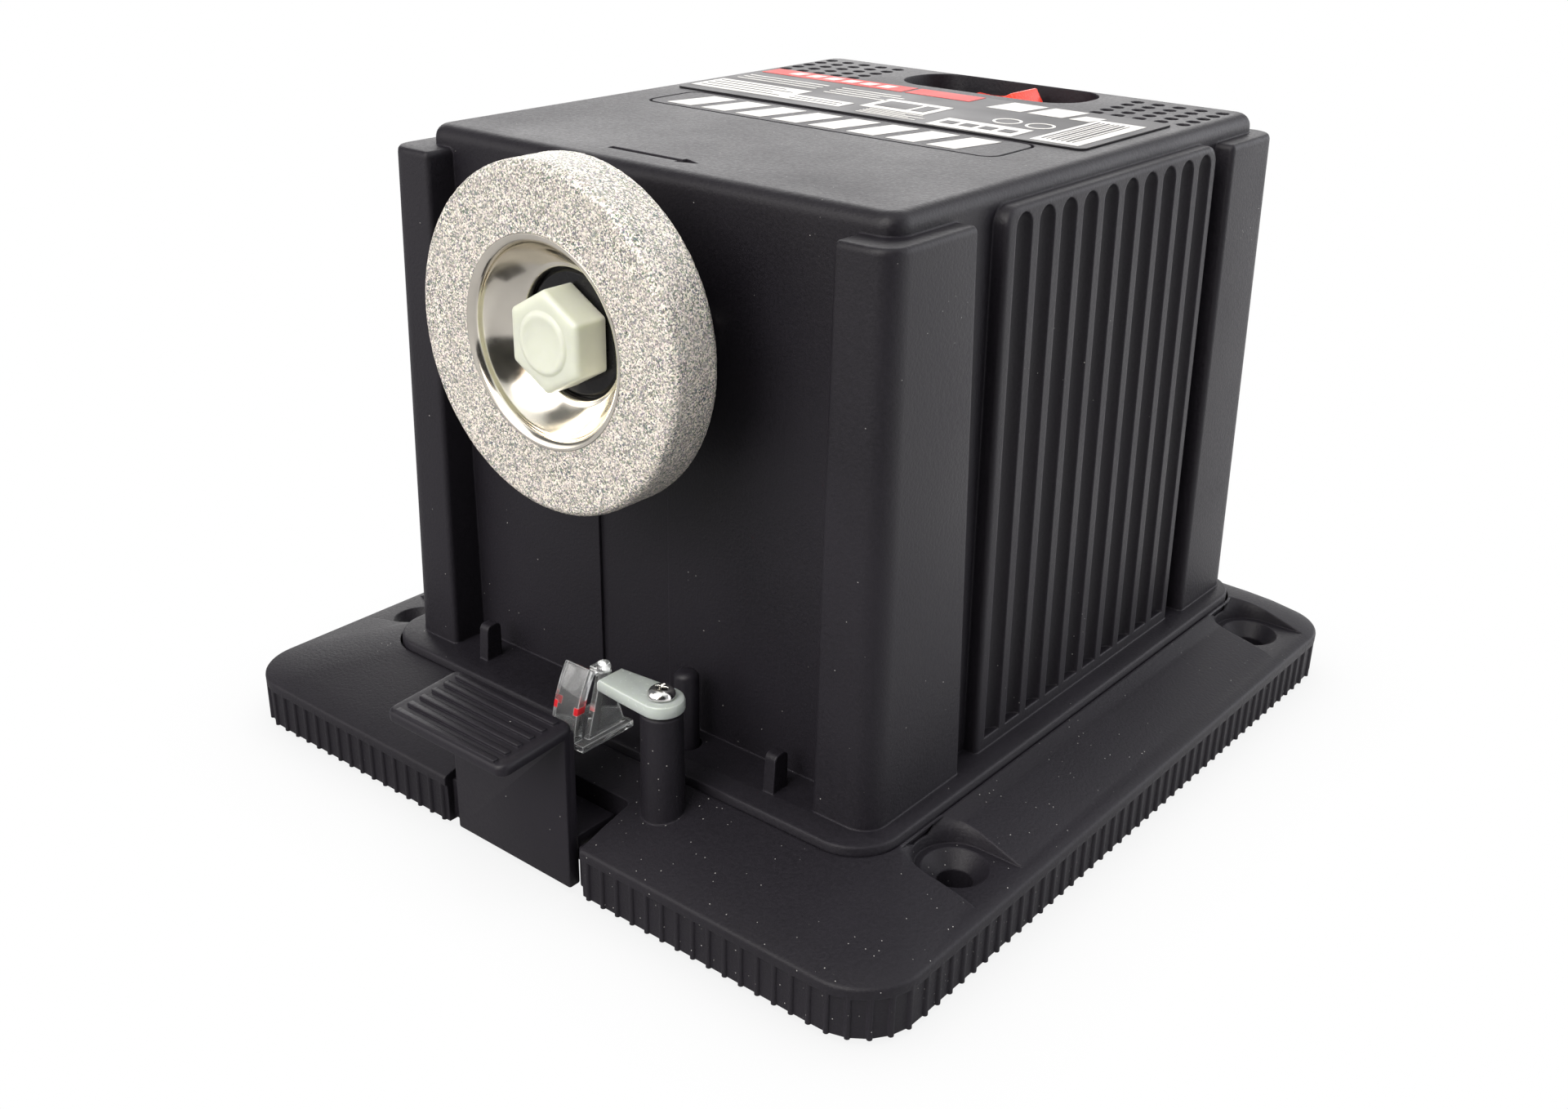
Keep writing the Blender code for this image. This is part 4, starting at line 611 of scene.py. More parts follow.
def rib_outline(inset):
    """The skirt's outline, set back by inset between beads whose crests stay at full width."""
    wall_x = BASE_X - inset
    wall_y = BASE_Y - inset
    radius = BASE_CORNER - inset

    def stations(half):
        count = int(2.0 * (half - BASE_CORNER - 0.8 * MM) / RIB_PITCH)
        return [(i - count / 2.0) * RIB_PITCH for i in range(count + 1)]

    sides = (
        (stations(BASE_Y), lambda s, h: (wall_x + h, s)),
        (stations(BASE_X), lambda s, h: (-s, wall_y + h)),
        (stations(BASE_Y), lambda s, h: (-wall_x - h, -s)),
        (stations(BASE_X), lambda s, h: (s, -wall_y - h)),
    )
    outline = []
    for index, (places, place) in enumerate(sides):
        for station in places:
            for offset, height in BEAD:
                outline.append(place(station + offset * MM, height * inset))
        sign_x = (1.0, -1.0, -1.0, 1.0)[index]
        sign_y = (1.0, 1.0, -1.0, -1.0)[index]
        centre = (sign_x * (wall_x - radius), sign_y * (wall_y - radius))
        for step in range(5):
            middle = math.radians(18.0 * (step + 0.5) + 90.0 * index)
            for offset, height in BEAD:
                bend = middle + offset * MM / BASE_CORNER
                reach = radius + height * inset
                outline.append((centre[0] + reach * math.cos(bend), centre[1] + reach * math.sin(bend)))
    return outline


def base_shell():
    plan = (-BASE_X, BASE_X, -BASE_Y, BASE_Y)
    deck = tuple(v + math.copysign(GAP, v) for v in FOOT_PLAN)
    rings = [rounded_plan(plan, BASE_CORNER, RIB_TOP - 0.6 * MM, inset=0.02 * MM, steps=16)]
    rings.append(rounded_plan(plan, BASE_CORNER, RIDGE_Z - 0.6 * MM, steps=16))
    for step in range(1, 4):
        angle = math.radians(25.0 * step)
        inset = 0.6 * MM * (1.0 - math.cos(angle))
        z = RIDGE_Z - 0.6 * MM + 0.6 * MM * math.sin(angle)
        rings.append(rounded_plan(plan, BASE_CORNER, z, inset=inset, steps=16))
    for share in (0.25, 0.5, 0.75, 1.0):
        near = tuple(a + (b - a) * share for a, b in zip(plan, deck))
        corner = BASE_CORNER + (FOOT_CORNER - BASE_CORNER) * share
        swell = 0.25 * MM * math.sin(math.pi * share)
        z = RIDGE_Z + (DECK_Z - RIDGE_Z) * share + swell
        rings.append(rounded_plan(near, corner, z, steps=16))
    shell = loft("base_moulding", rings)
    band = loft(
        "rib_band",
        [
            [Vector((x, y, BASE_FOOT)) for x, y in rib_outline(RIB_PROUD)],
            [Vector((x, y, RIB_TOP - 0.9 * MM)) for x, y in rib_outline(0.40 * MM)],
            [Vector((x, y, RIB_TOP - 0.15 * MM)) for x, y in rib_outline(0.12 * MM)],
        ],
    )
    return shell, band


def base_cutters():
    plan = (-BASE_X, BASE_X, -BASE_Y, BASE_Y)
    inner = tuple(v - math.copysign(3.4 * MM, v) for v in plan)
    hollow = loft("under_hollow", [rounded_plan(inner, 7.0 * MM, z) for z in (-MM, 6.6 * MM)])
    wall = (OPENING[0] - 2.5 * MM, OPENING[1] + 2.5 * MM, OPENING[2] - 2.5 * MM, OPENING[3] + 2.5 * MM)
    keep = [loft("opening_wall", [rounded_plan(wall, 6.0 * MM, z) for z in (-2.0 * MM, 9.0 * MM)])]
    keep.append(box("cheeks", (-18.0 * MM, -80.0 * MM, -2.0 * MM), (18.0 * MM, -52.0 * MM, 9.0 * MM)))
    keep.append(box("relief_block", (-11.0 * MM, 60.0 * MM, -2.0 * MM), (MM, 80.0 * MM, 9.0 * MM)))
    for x, y in HOLES:
        keep.append(rod("hole_boss", (x, y, -2.0 * MM), (x, y, 9.0 * MM), 4.6 * MM))
    combine(hollow, [("DIFFERENCE", keep)])

    deck = tuple(v + math.copysign(GAP, v) for v in FOOT_PLAN)
    cutters = [hollow]
    cutters.append(
        loft("foot_pocket", [rounded_plan(deck, FOOT_CORNER, z, steps=16) for z in (FOOT_BOTTOM - GAP, 20.0 * MM)])
    )
    cutters.append(loft("opening", [rounded_plan(OPENING, 4.0 * MM, z) for z in (-2.0 * MM, 16.0 * MM)]))
    notch = arc((-NOTCH_X + MM, NOTCH_BACK - MM), MM, 180.0, 90.0, 4)
    notch += arc((NOTCH_X - MM, NOTCH_BACK - MM), MM, 90.0, 0.0, 4)
    notch += [(NOTCH_X, -73.2 * MM), (NOTCH_X + 0.8 * MM, -80.0 * MM)]
    notch += [(-NOTCH_X - 0.8 * MM, -80.0 * MM), (-NOTCH_X, -73.2 * MM)]
    cutters.append(prism("notch", notch, "Z", -2.0 * MM, 20.0 * MM))
    pin_y = (PIN_LOW.y + PIN_HIGH.y) / 2.0
    pin_z = (PIN_LOW.z + PIN_HIGH.z) / 2.0
    cutters.append(rod("pin_bore", (PIN_LOW.x - GAP, pin_y, pin_z), (PIN_HIGH.x + GAP, pin_y, pin_z), 1.3 * MM))
    cord_x = (RELIEF_LOW.x + RELIEF_HIGH.x) / 2.0
    cord_z = (RELIEF_LOW.z + RELIEF_HIGH.z) / 2.0
    cutters.append(rod("relief_bore", (cord_x, 60.0 * MM, cord_z), (cord_x, 80.0 * MM, cord_z), 3.6 * MM))
    for x, y in HOLES:
        side = math.copysign(1.0, x)
        cutters.append(rod("bore", (x, y, -MM), (x, y, 20.0 * MM), 2.7 * MM))
        cutters.append(
            rod("sink", (x, y, SEAT_Z - 2.3 * MM), (x, y, SEAT_Z + 0.3 * MM), 2.7 * MM, 64, 5.3 * MM)
        )
        rings = []
        for rise, grow in ((0.0, 0.0), (0.25, -0.1), (1.2, 0.1), (2.0, 0.35), (2.6, 0.7), (3.0, 1.1), (3.6, 1.9)):
            reach = (6.3 + grow) * MM
            seat = arc((0.0, 0.0), reach, 90.0, 270.0, 24)
            seat += [(14.0 * MM, -reach), (14.0 * MM, reach)]
            rings.append([Vector((x + side * a, y + b, SEAT_Z + rise * MM)) for a, b in seat])
        cutters.append(loft("seat", rings))
    return cutters


def gauge_post():
    x = (SCREW_LOW.x + SCREW_HIGH.x) / 2.0
    y = (SCREW_LOW.y + SCREW_HIGH.y) / 2.0
    top = BASE_HIGH.z
    profile = [
        (1.5 * MM, 10.0 * MM),
        (3.4 * MM, 10.0 * MM),
        (3.2 * MM, top - 0.3 * MM),
        (2.9 * MM, top),
        (1.5 * MM, top),
    ]
    return lathe("gauge_post", profile, (x, y, 0.0), steps=64)


def lever_stops():
    """Narrow inner ledges that close the slit beside the lever plate."""
    stops = []
    pin_y = (PIN_LOW.y + PIN_HIGH.y) / 2.0
    pin_z = (PIN_LOW.z + PIN_HIGH.z) / 2.0
    for side in (-1.0, 1.0):
        xs = sorted((side * 13.25 * MM, side * 15.6 * MM))
        stop = box("stop", (xs[0], -71.9 * MM, BASE_FOOT + 0.2 * MM), (xs[1], NOTCH_BACK + 0.4 * MM, 8.2 * MM), 0.3 * MM, 2)
        bore = rod("bore", (-20.0 * MM, pin_y, pin_z), (20.0 * MM, pin_y, pin_z), 1.3 * MM)
        stops.append(combine(stop, [("DIFFERENCE", [bore])]))
    return stops


def build_base():
    shell, band = base_shell()
    added = [gauge_post()] + lever_stops()
    combine(shell, [("UNION", [band]), ("DIFFERENCE", base_cutters()), ("UNION", added)], 32.0)
    dress(shell, LOOKS["base"], "black_plastic", "frame", "base_plate")


# ---------------------------------------------------------------- housing

BODY_X = 46.0 * MM
BODY_FRONT = -43.2 * MM
BODY_BACK = 62.5 * MM
BODY_TOP = HOUSING_HIGH.z
BODY_CORNER = 3.5 * MM
EDGE_ROUND = 2.2 * MM
WALL = 2.5 * MM
DRAFT = 0.015
POST_X = 49.4 * MM
POST_INNER = 39.8 * MM
POST_FRONT = -48.5 * MM
POST_SIDE = -29.0 * MM
POST_BACK = 64.0 * MM
POST_BACK_SIDE = 47.0 * MM
POST_TOP = 100.4 * MM
POST_CORNER = 4.0 * MM
POST_EDGE = 0.9 * MM
PANEL_X = 48.5 * MM
PANEL_FRONT = -20.5 * MM
PANEL_BACK = 43.0 * MM
PANEL_TOP = 101.0 * MM
GROOVES = 10
GROOVE_PITCH = 6.1 * MM
GROOVE_RADIUS = 2.2 * MM
GROOVE_FOOT = 17.0 * MM
GROOVE_DEPTH = 1.7 * MM
RECESS_FLOOR = SWITCH_LOW.z + 0.0


def post(name, x0, x1, y0, y1, grow_front, grow_back, round_at):
    """A corner post that widens towards its foot and is round on its outer corner only."""
    spread = DRAFT * (POST_TOP - FOOT_TOP)
    side = math.copysign(1.0, x1)
    radii = [POST_CORNER if corner == round_at else POST_EDGE for corner in range(4)]
    rings = []
    levels = [(FOOT_BOTTOM + MM, 1.0, 0.0), (POST_TOP - 1.0 * MM, 0.0, 0.0)]
    for step in range(1, 5):
        angle = math.radians(22.5 * step)
        levels.append((POST_TOP - MM + MM * math.sin(angle), 0.0, 0.7 * MM * (1.0 - math.cos(angle))))
    for z, share, inset in levels:
        outer = x1 + side * spread * share
        plan = (
            min(x0, outer),
            max(x0, outer),
            y0 - grow_front * spread * share,
            y1 + grow_back * spread * share,
        )
        rings.append(corner_plan(plan, radii, z, inset))
    return loft(name, rings)


def panel_outer(z):
    base_z = FOOT_BOTTOM + 1.5 * MM
    foot_x = PANEL_X + DRAFT * (PANEL_TOP - FOOT_TOP)
    return PANEL_X + (foot_x - PANEL_X) * (PANEL_TOP - z) / (PANEL_TOP - base_z)


def side_panel(side):
    radius = 2.6 * MM
    base_z = FOOT_BOTTOM + 1.5 * MM
    outline = [(PANEL_FRONT, base_z), (PANEL_BACK, base_z)]
    outline += arc((PANEL_BACK - radius, PANEL_TOP - radius), radius, 0.0, 90.0, 10)
    outline += arc((PANEL_FRONT + radius, PANEL_TOP - radius), radius, 90.0, 180.0, 10)
    middle_y = (PANEL_FRONT + PANEL_BACK) / 2.0
    rings = []
    for drop, inset in ((None, 0.0), (0.8, 0.0), (0.35, 0.12), (0.1, 0.38), (0.0, 0.8)):
        ring = []
        for y, z in outline:
            near_y = y - math.copysign(inset * MM, y - middle_y)
            near_z = z - inset * MM if z > base_z + MM else z
            x = BODY_X - 2.0 * MM if drop is None else panel_outer(z) - drop * MM
            ring.append(Vector((side * x, near_y, near_z)))
        rings.append(ring)
    return loft("side_panel", rings)


def groove(side, y):
    """A flute: a leaning round channel with a domed top and a flat foot."""
    top = PANEL_TOP - 0.9 * MM - GROOVE_RADIUS
    steps = 24
    rings = []
    levels = [(GROOVE_FOOT, 1.0), (top, 1.0)]
    for step in range(1, 7):
        angle = math.radians(90.0 * step / 6.0)
        levels.append((top + GROOVE_RADIUS * math.sin(angle), max(math.cos(angle), 0.02)))
    for z, share in levels:
        centre = panel_outer(min(z, top)) - GROOVE_DEPTH + GROOVE_RADIUS
        ring = []
        for i in range(steps):
            angle = math.tau * i / steps
            x = centre + GROOVE_RADIUS * share * math.cos(angle)
            ring.append(Vector((side * x, y + GROOVE_RADIUS * share * math.sin(angle), z)))
        rings.append(ring)
    return loft("groove", rings)


def fin(x):
    outline = [(-46.9 * MM, 14.0 * MM), (-50.3 * MM, 14.0 * MM)]
    outline += arc((-48.8 * MM, 20.4 * MM), 1.0 * MM, 180.0, 90.0, 6)
    outline += arc((-47.9 * MM, 20.4 * MM), 1.0 * MM, 80.0, 0.0, 6)
    return prism("fin", outline, "X", x - MM, x + MM)


def vents():
    tools = []
    for side in (-1.0, 1.0):
        for column in range(5):
            for row in range(5):
                x = side * (26.0 + 4.05 * column) * MM
                y = (42.2 + 3.6 * row) * MM
                profile = [
                    (0.0, 98.0 * MM),
                    (1.15 * MM, 98.0 * MM),
                    (1.15 * MM, BODY_TOP - 0.12 * MM),
                    (1.28 * MM, BODY_TOP + 0.02 * MM),
                    (1.28 * MM, BODY_TOP + 2.0 * MM),
                    (0.0, BODY_TOP + 2.0 * MM),
                ]
                tools.append(lathe("vent", profile, (x, y, 0.0), steps=24))
    return joined("vents", tools)


def switch_recess():
    """A dished stadium: soft sloping ends, steeper long sides, a level floor round the bezel."""
    floor_z = RECESS_FLOOR - 0.3 * MM
    top = BODY_TOP
    rings = []
    for share in (0.0, 0.12, 0.3, 0.5, 0.7, 0.86, 0.95, 1.0, 1.6):
        rise = min(share, 1.0)
        end = 13.5 + 4.9 * (math.sin(rise * math.pi / 2.0) ** 1.1)
        lip = 0.8 * max(0.0, rise - 0.8) / 0.2
        near_y = 7.0 + 1.0 * rise + 0.3 * lip
        plan = (-end * MM - lip * MM, end * MM + lip * MM, SWITCH_Y - near_y * MM, SWITCH_Y + near_y * MM - 0.2 * MM)
        z = floor_z + (top - floor_z) * rise if share <= 1.0 else top + 3.0 * MM
        rings.append(rounded_plan(plan, (4.0 + 3.2 * rise) * MM, z, steps=12))
    return loft("switch_recess", rings)


def plate_outline():
    """A fine groove round a blank name panel."""
    outer = (-36.8 * MM, 34.7 * MM, -3.6 * MM, 10.2 * MM)
    ring = loft(
        "plate_outer",
        [rounded_plan(outer, 3.0 * MM, z, steps=10) for z in (BODY_TOP - 0.45 * MM, BODY_TOP + MM)],
    )
    core = loft(
        "plate_inner",
        [rounded_plan(outer, 3.0 * MM, z, inset=0.55 * MM, steps=10) for z in (BODY_TOP - MM, BODY_TOP + 2.0 * MM)],
    )
    return combine(ring, [("DIFFERENCE", [core])])


def turn_arrow():
    """A sunk arrow that shows the way the wheel turns."""
    outline = [(-11.6, -37.2), (2.6, -37.2), (2.6, -38.0), (6.2, -36.6), (2.6, -35.2), (2.6, -36.0), (-11.6, -36.0)]
    return prism("turn_arrow", [(x * MM, y * MM) for x, y in outline], "Z", BODY_TOP - 0.5 * MM, BODY_TOP + MM)


def build_housing():
    spread = DRAFT * (BODY_TOP - FOOT_TOP)
    top_plan = (-BODY_X, BODY_X, BODY_FRONT, BODY_BACK)
    foot_plan = (-BODY_X - spread, BODY_X + spread, BODY_FRONT, BODY_BACK + spread)
    rings = [rounded_plan(foot_plan, BODY_CORNER, FOOT_BOTTOM + 0.5 * MM, steps=14)]
    for step in range(9):
        angle = math.radians(90.0 * step / 8.0)
        inset = EDGE_ROUND * (1.0 - math.cos(angle))
        z = BODY_TOP - EDGE_ROUND + EDGE_ROUND * math.sin(angle)
        rings.append(rounded_plan(top_plan, BODY_CORNER, z, inset=inset, steps=14))
    housing = loft("housing_moulding", rings)

    flange = loft(
        "flange",
        [
            rounded_plan(FOOT_PLAN, FOOT_CORNER, FOOT_BOTTOM, steps=16),
            rounded_plan(FOOT_PLAN, FOOT_CORNER, FOOT_TOP - 0.6 * MM, steps=16),
            rounded_plan(FOOT_PLAN, FOOT_CORNER, FOOT_TOP - 0.18 * MM, inset=0.18 * MM, steps=16),
            rounded_plan(FOOT_PLAN, FOOT_CORNER, FOOT_TOP, inset=0.6 * MM, steps=16),
        ],
    )
    added = [flange]
    grooves = []
    for side in (-1.0, 1.0):
        inner, outer = side * POST_INNER, side * POST_X
        front_corner, back_corner = (3, 0) if side > 0.0 else (2, 1)
        added.append(post("post_front", inner, outer, POST_FRONT, POST_SIDE, 1.0, 2.0, front_corner))
        added.append(post("post_back", inner, outer, POST_BACK_SIDE, POST_BACK, 0.0, 1.0, back_corner))
        added.append(side_panel(side))
        added.append(fin(side * 32.0 * MM))
        middle = (PANEL_FRONT + PANEL_BACK) / 2.0
        tools = [groove(side, middle + (i - (GROOVES - 1) / 2.0) * GROOVE_PITCH) for i in range(GROOVES)]
        grooves.append(joined("grooves", tools))
    channel = box(
        "front_channel",
        (-9.8 * MM, -46.0 * MM, FOOT_TOP + 0.2 * MM),
        (5.3 * MM, BODY_FRONT + 0.6 * MM, 96.0 * MM),
    )

    inside_foot = (foot_plan[0] + WALL, foot_plan[1] - WALL, BODY_FRONT + WALL, foot_plan[3] - WALL)
    inside_top = (-BODY_X + WALL, BODY_X - WALL, BODY_FRONT + WALL, BODY_BACK - WALL)
    cavity = loft(
        "cavity",
        [
            rounded_plan(inside_foot, 3.0 * MM, FOOT_BOTTOM - 2.0 * MM, steps=3),
            rounded_plan(inside_top, 3.0 * MM, BODY_TOP - WALL, steps=3),
        ],
    )
    switch_boss = box("switch_boss", (-21.0 * MM, 41.5 * MM, 96.8 * MM), (21.0 * MM, 61.0 * MM, 102.0 * MM))
    bosses = []
    bores = []
    for sx in (-1.0, 1.0):
        for y in (-37.0 * MM, 56.5 * MM):
            x = sx * 41.0 * MM
            bosses.append(rod("screw_boss", (x, y, HOUSING_LOW.z), (x, y, 34.0 * MM), 4.2 * MM))
            bores.append(rod("screw_bore", (x, y, 2.0 * MM), (x, y, 24.0 * MM), 1.7 * MM))
        bores.append(
            rod("motor_hole", (sx * 12.5 * MM, -50.0 * MM, SHAFT_Z), (sx * 12.5 * MM, -35.0 * MM, SHAFT_Z), 1.8 * MM)
        )
    bores.append(rod("shaft_hole", (0.0, -50.0 * MM, SHAFT_Z), (0.0, -35.0 * MM, SHAFT_Z), 6.5 * MM))
    px = (PLUNGER_LOW.x + PLUNGER_HIGH.x) / 2.0
    py = (PLUNGER_LOW.y + PLUNGER_HIGH.y) / 2.0
    bores.append(rod("plunger_hole", (px, py, 8.0 * MM), (px, py, 20.0 * MM), 2.4 * MM))
    opening = box(
        "switch_hole",
        (-9.9 * MM, SWITCH_Y - 5.8 * MM, 90.0 * MM),
        (9.9 * MM, SWITCH_Y + 5.8 * MM, 101.0 * MM),
    )
    steps = [
        ("UNION", added),
        ("DIFFERENCE", grooves + [channel, cavity]),
        ("UNION", [switch_boss] + bosses),
        ("DIFFERENCE", bores + [switch_recess(), opening, vents(), plate_outline(), turn_arrow()]),
    ]
    combine(housing, steps, 32.0)
    dress(housing, LOOKS["housing"], "black_plastic", "frame", "upper_housing")


# ---------------------------------------------------------------- label

def printed(name, shapes, look, slot):
    """Thin ink areas on the label or the panel: (x0, x1, y0, y1, slant, base height) in millimetres."""
    parts = []
    for x0, x1, y0, y1, slant, z in shapes:
        outline = [(x0, y0), (x1, y0), (x1 + slant, y1), (x0 + slant, y1)]
        points = [(x * MM, y * MM) for x, y in outline]
        parts.append(prism("ink", points, "Z", z, z + 0.05 * MM))
    dress(joined(name, parts), look, slot, "frame")


def build_label():
    low = LABEL_LOW
    high = LABEL_HIGH
    plan = (low.x, high.x, low.y, high.y)
    film_piece = loft(
        "label_sheet",
        [rounded_plan(plan, 1.2 * MM, z) for z in (low.z, high.z)],
    )
    dress(film_piece, LOOKS["label"], "label_film", "frame", "rating_label")
    top = high.z + 0.005 * MM
    printed(
        "label_red_band",
        [(-41.4, -9.0, 34.0, 39.4, 0.0, top), (-8.2, 5.5, 34.0, 39.4, 0.0, top)],
        LOOKS["label_red"],
        "label_film",
    )
    light = [
        (-41.3, -20.4, 13.9, 22.9, 0.0, top),
        (-20.4, -7.6, 13.9, 18.4, 0.0, top),
        (-5.8, 7.4, 17.4, 26.6, 0.0, top),
        (12.0, 28.2, 11.4, 18.4, 0.0, top),
        (31.2, 39.8, 12.2, 34.0, 0.0, top),
        (10.6, 17.4, 31.6, 38.8, 1.2, top),
        (18.8, 25.4, 31.6, 38.8, 1.2, top),
        (26.8, 30.6, 31.6, 35.6, 1.0, top),
    ]
    for row in range(4):
        length = (13.0, 15.0, 11.0, 14.0)[row]
        light.append((-19.0, -19.0 + length, 29.6 - row * 1.8, 30.1 - row * 1.8, 0.0, top))
    for row in range(5):
        length = (12.0, 10.0, 12.6, 8.0, 11.0)[row]
        light.append((-3.0, -3.0 + length, 12.6 + row * 0.95, 12.95 + row * 0.95, 0.0, top))
    for row in range(3):
        light.append((-40.6, -22.0, 25.8 + row * 1.9, 26.3 + row * 1.9, 0.0, top))
    for column in range(6):
        x = -36.0 + column * 4.1
        light.append((x, x + 2.6, 35.4, 38.0, 0.7, top + 0.055 * MM))
    printed("label_light_print", light, LOOKS["label_white"], "label_film")

    dark = []
    x = 32.2
    for width in (0.3, 0.16, 0.4, 0.16, 0.26, 0.5, 0.16):
        dark.append((x, x + width, 14.0, 32.0, 0.0, top + 0.055 * MM))
        x += width + 0.62
    for row in range(4):
        dark.append((-40.2, -22.0 - (row % 2) * 3.0, 15.4 + row * 1.9, 15.6 + row * 1.9, 0.0, top + 0.055 * MM))
    for row in range(2):
        dark.append((-19.4, -9.0, 15.1 + row * 1.5, 15.28 + row * 1.5, 0.0, top + 0.055 * MM))
    dark.append((-4.2, 2.4, 19.4, 24.6, 0.0, top + 0.055 * MM))
    dark.append((3.4, 6.0, 19.4, 24.6, 0.0, top + 0.055 * MM))
    for column in range(4):
        x = 13.2 + column * 3.7
        dark.append((x, x + 2.5, 13.7, 16.1, 0.0, top + 0.055 * MM))
    printed("label_dark_print", dark, LOOKS["label"], "label_film")
    rings = []
    for x in (20.6, 26.8):
        profile = [(2.0 * MM, top), (2.5 * MM, top), (2.5 * MM, top + 0.05 * MM), (2.0 * MM, top + 0.05 * MM)]
        rings.append(lathe("ring", profile, (x * MM, 22.6 * MM, 0.0), steps=48))
    dress(joined("label_rings", rings), LOOKS["label_white"], "label_film", "frame")

    blocks = []
    for index in range(8):
        x = -32.6 + index * 7.7
        blocks.append((x, x + 5.3, -1.6, 8.0, 2.2, BODY_TOP + 0.005 * MM))
    printed("panel_stripes", blocks, LOOKS["label_white"], "label_film")


# ---------------------------------------------------------------- switch

def build_switch():
    low, high = SWITCH_LOW, SWITCH_HIGH
    bezel_z = high.z
    plan = (low.x, high.x, low.y, high.y)
    rings = [
        rounded_plan(plan, 1.2 * MM, bezel_z - 1.25 * MM, steps=5),
        rounded_plan(plan, 1.2 * MM, bezel_z - 0.4 * MM, steps=5),
        rounded_plan(plan, 1.2 * MM, bezel_z - 0.1 * MM, inset=0.12 * MM, steps=5),
        rounded_plan(plan, 1.2 * MM, bezel_z, inset=0.4 * MM, steps=5),
    ]
    bezel = loft("switch_bezel", rings)
    shell = box("shell", (-9.6 * MM, SWITCH_Y - 5.4 * MM, 85.0 * MM), (9.6 * MM, SWITCH_Y + 5.4 * MM, bezel_z - 0.6 * MM))
    tabs = []
    for x in (-5.0 * MM, 5.0 * MM):
        tabs.append(
            box("tab", (x - 0.4 * MM, SWITCH_Y - 2.4 * MM, low.z), (x + 0.4 * MM, SWITCH_Y + 2.4 * MM, 86.0 * MM))
        )
    well = box("well", (-9.2 * MM, SWITCH_Y - 4.7 * MM, 91.0 * MM), (9.2 * MM, SWITCH_Y + 4.7 * MM, 106.0 * MM))
    combine(bezel, [("UNION", [shell] + tabs), ("DIFFERENCE", [well])])
    dress(bezel, LOOKS["gloss_black"], "component", "frame", "switch_body")

    centre_y = (ROCKER_LOW.y + ROCKER_HIGH.y) / 2.0
    half = (ROCKER_HIGH.y - ROCKER_LOW.y) / 2.0
    tilt = math.radians(10.0)
    pivot_z = 98.0 * MM
    crown = []
    for step in range(9):
        a = 6.2 - 12.4 * step / 8.0
        crown.append((a, 3.6 + 1.1 * (a / 6.2) ** 2))
    neutral = [(8.2, 0.2)] + crown + [(-8.2, 0.2), (-7.4, -1.0), (0.0, -4.6), (7.4, -1.0)]
    outline = []
    for a, b in neutral:
        x = a * math.cos(tilt) - b * math.sin(tilt)
        z = a * math.sin(tilt) + b * math.cos(tilt)
        outline.append((x * MM, pivot_z + z * MM))
    rocker = prism("rocker_cap", outline, "Y", centre_y - half, centre_y + half)
    soften(rocker, 0.4 * MM, 3, 30.0)
    dress(rocker, LOOKS["rocker"], "red_rocker", "rocker", "switch_rocker")


# ---------------------------------------------------------------- wheel

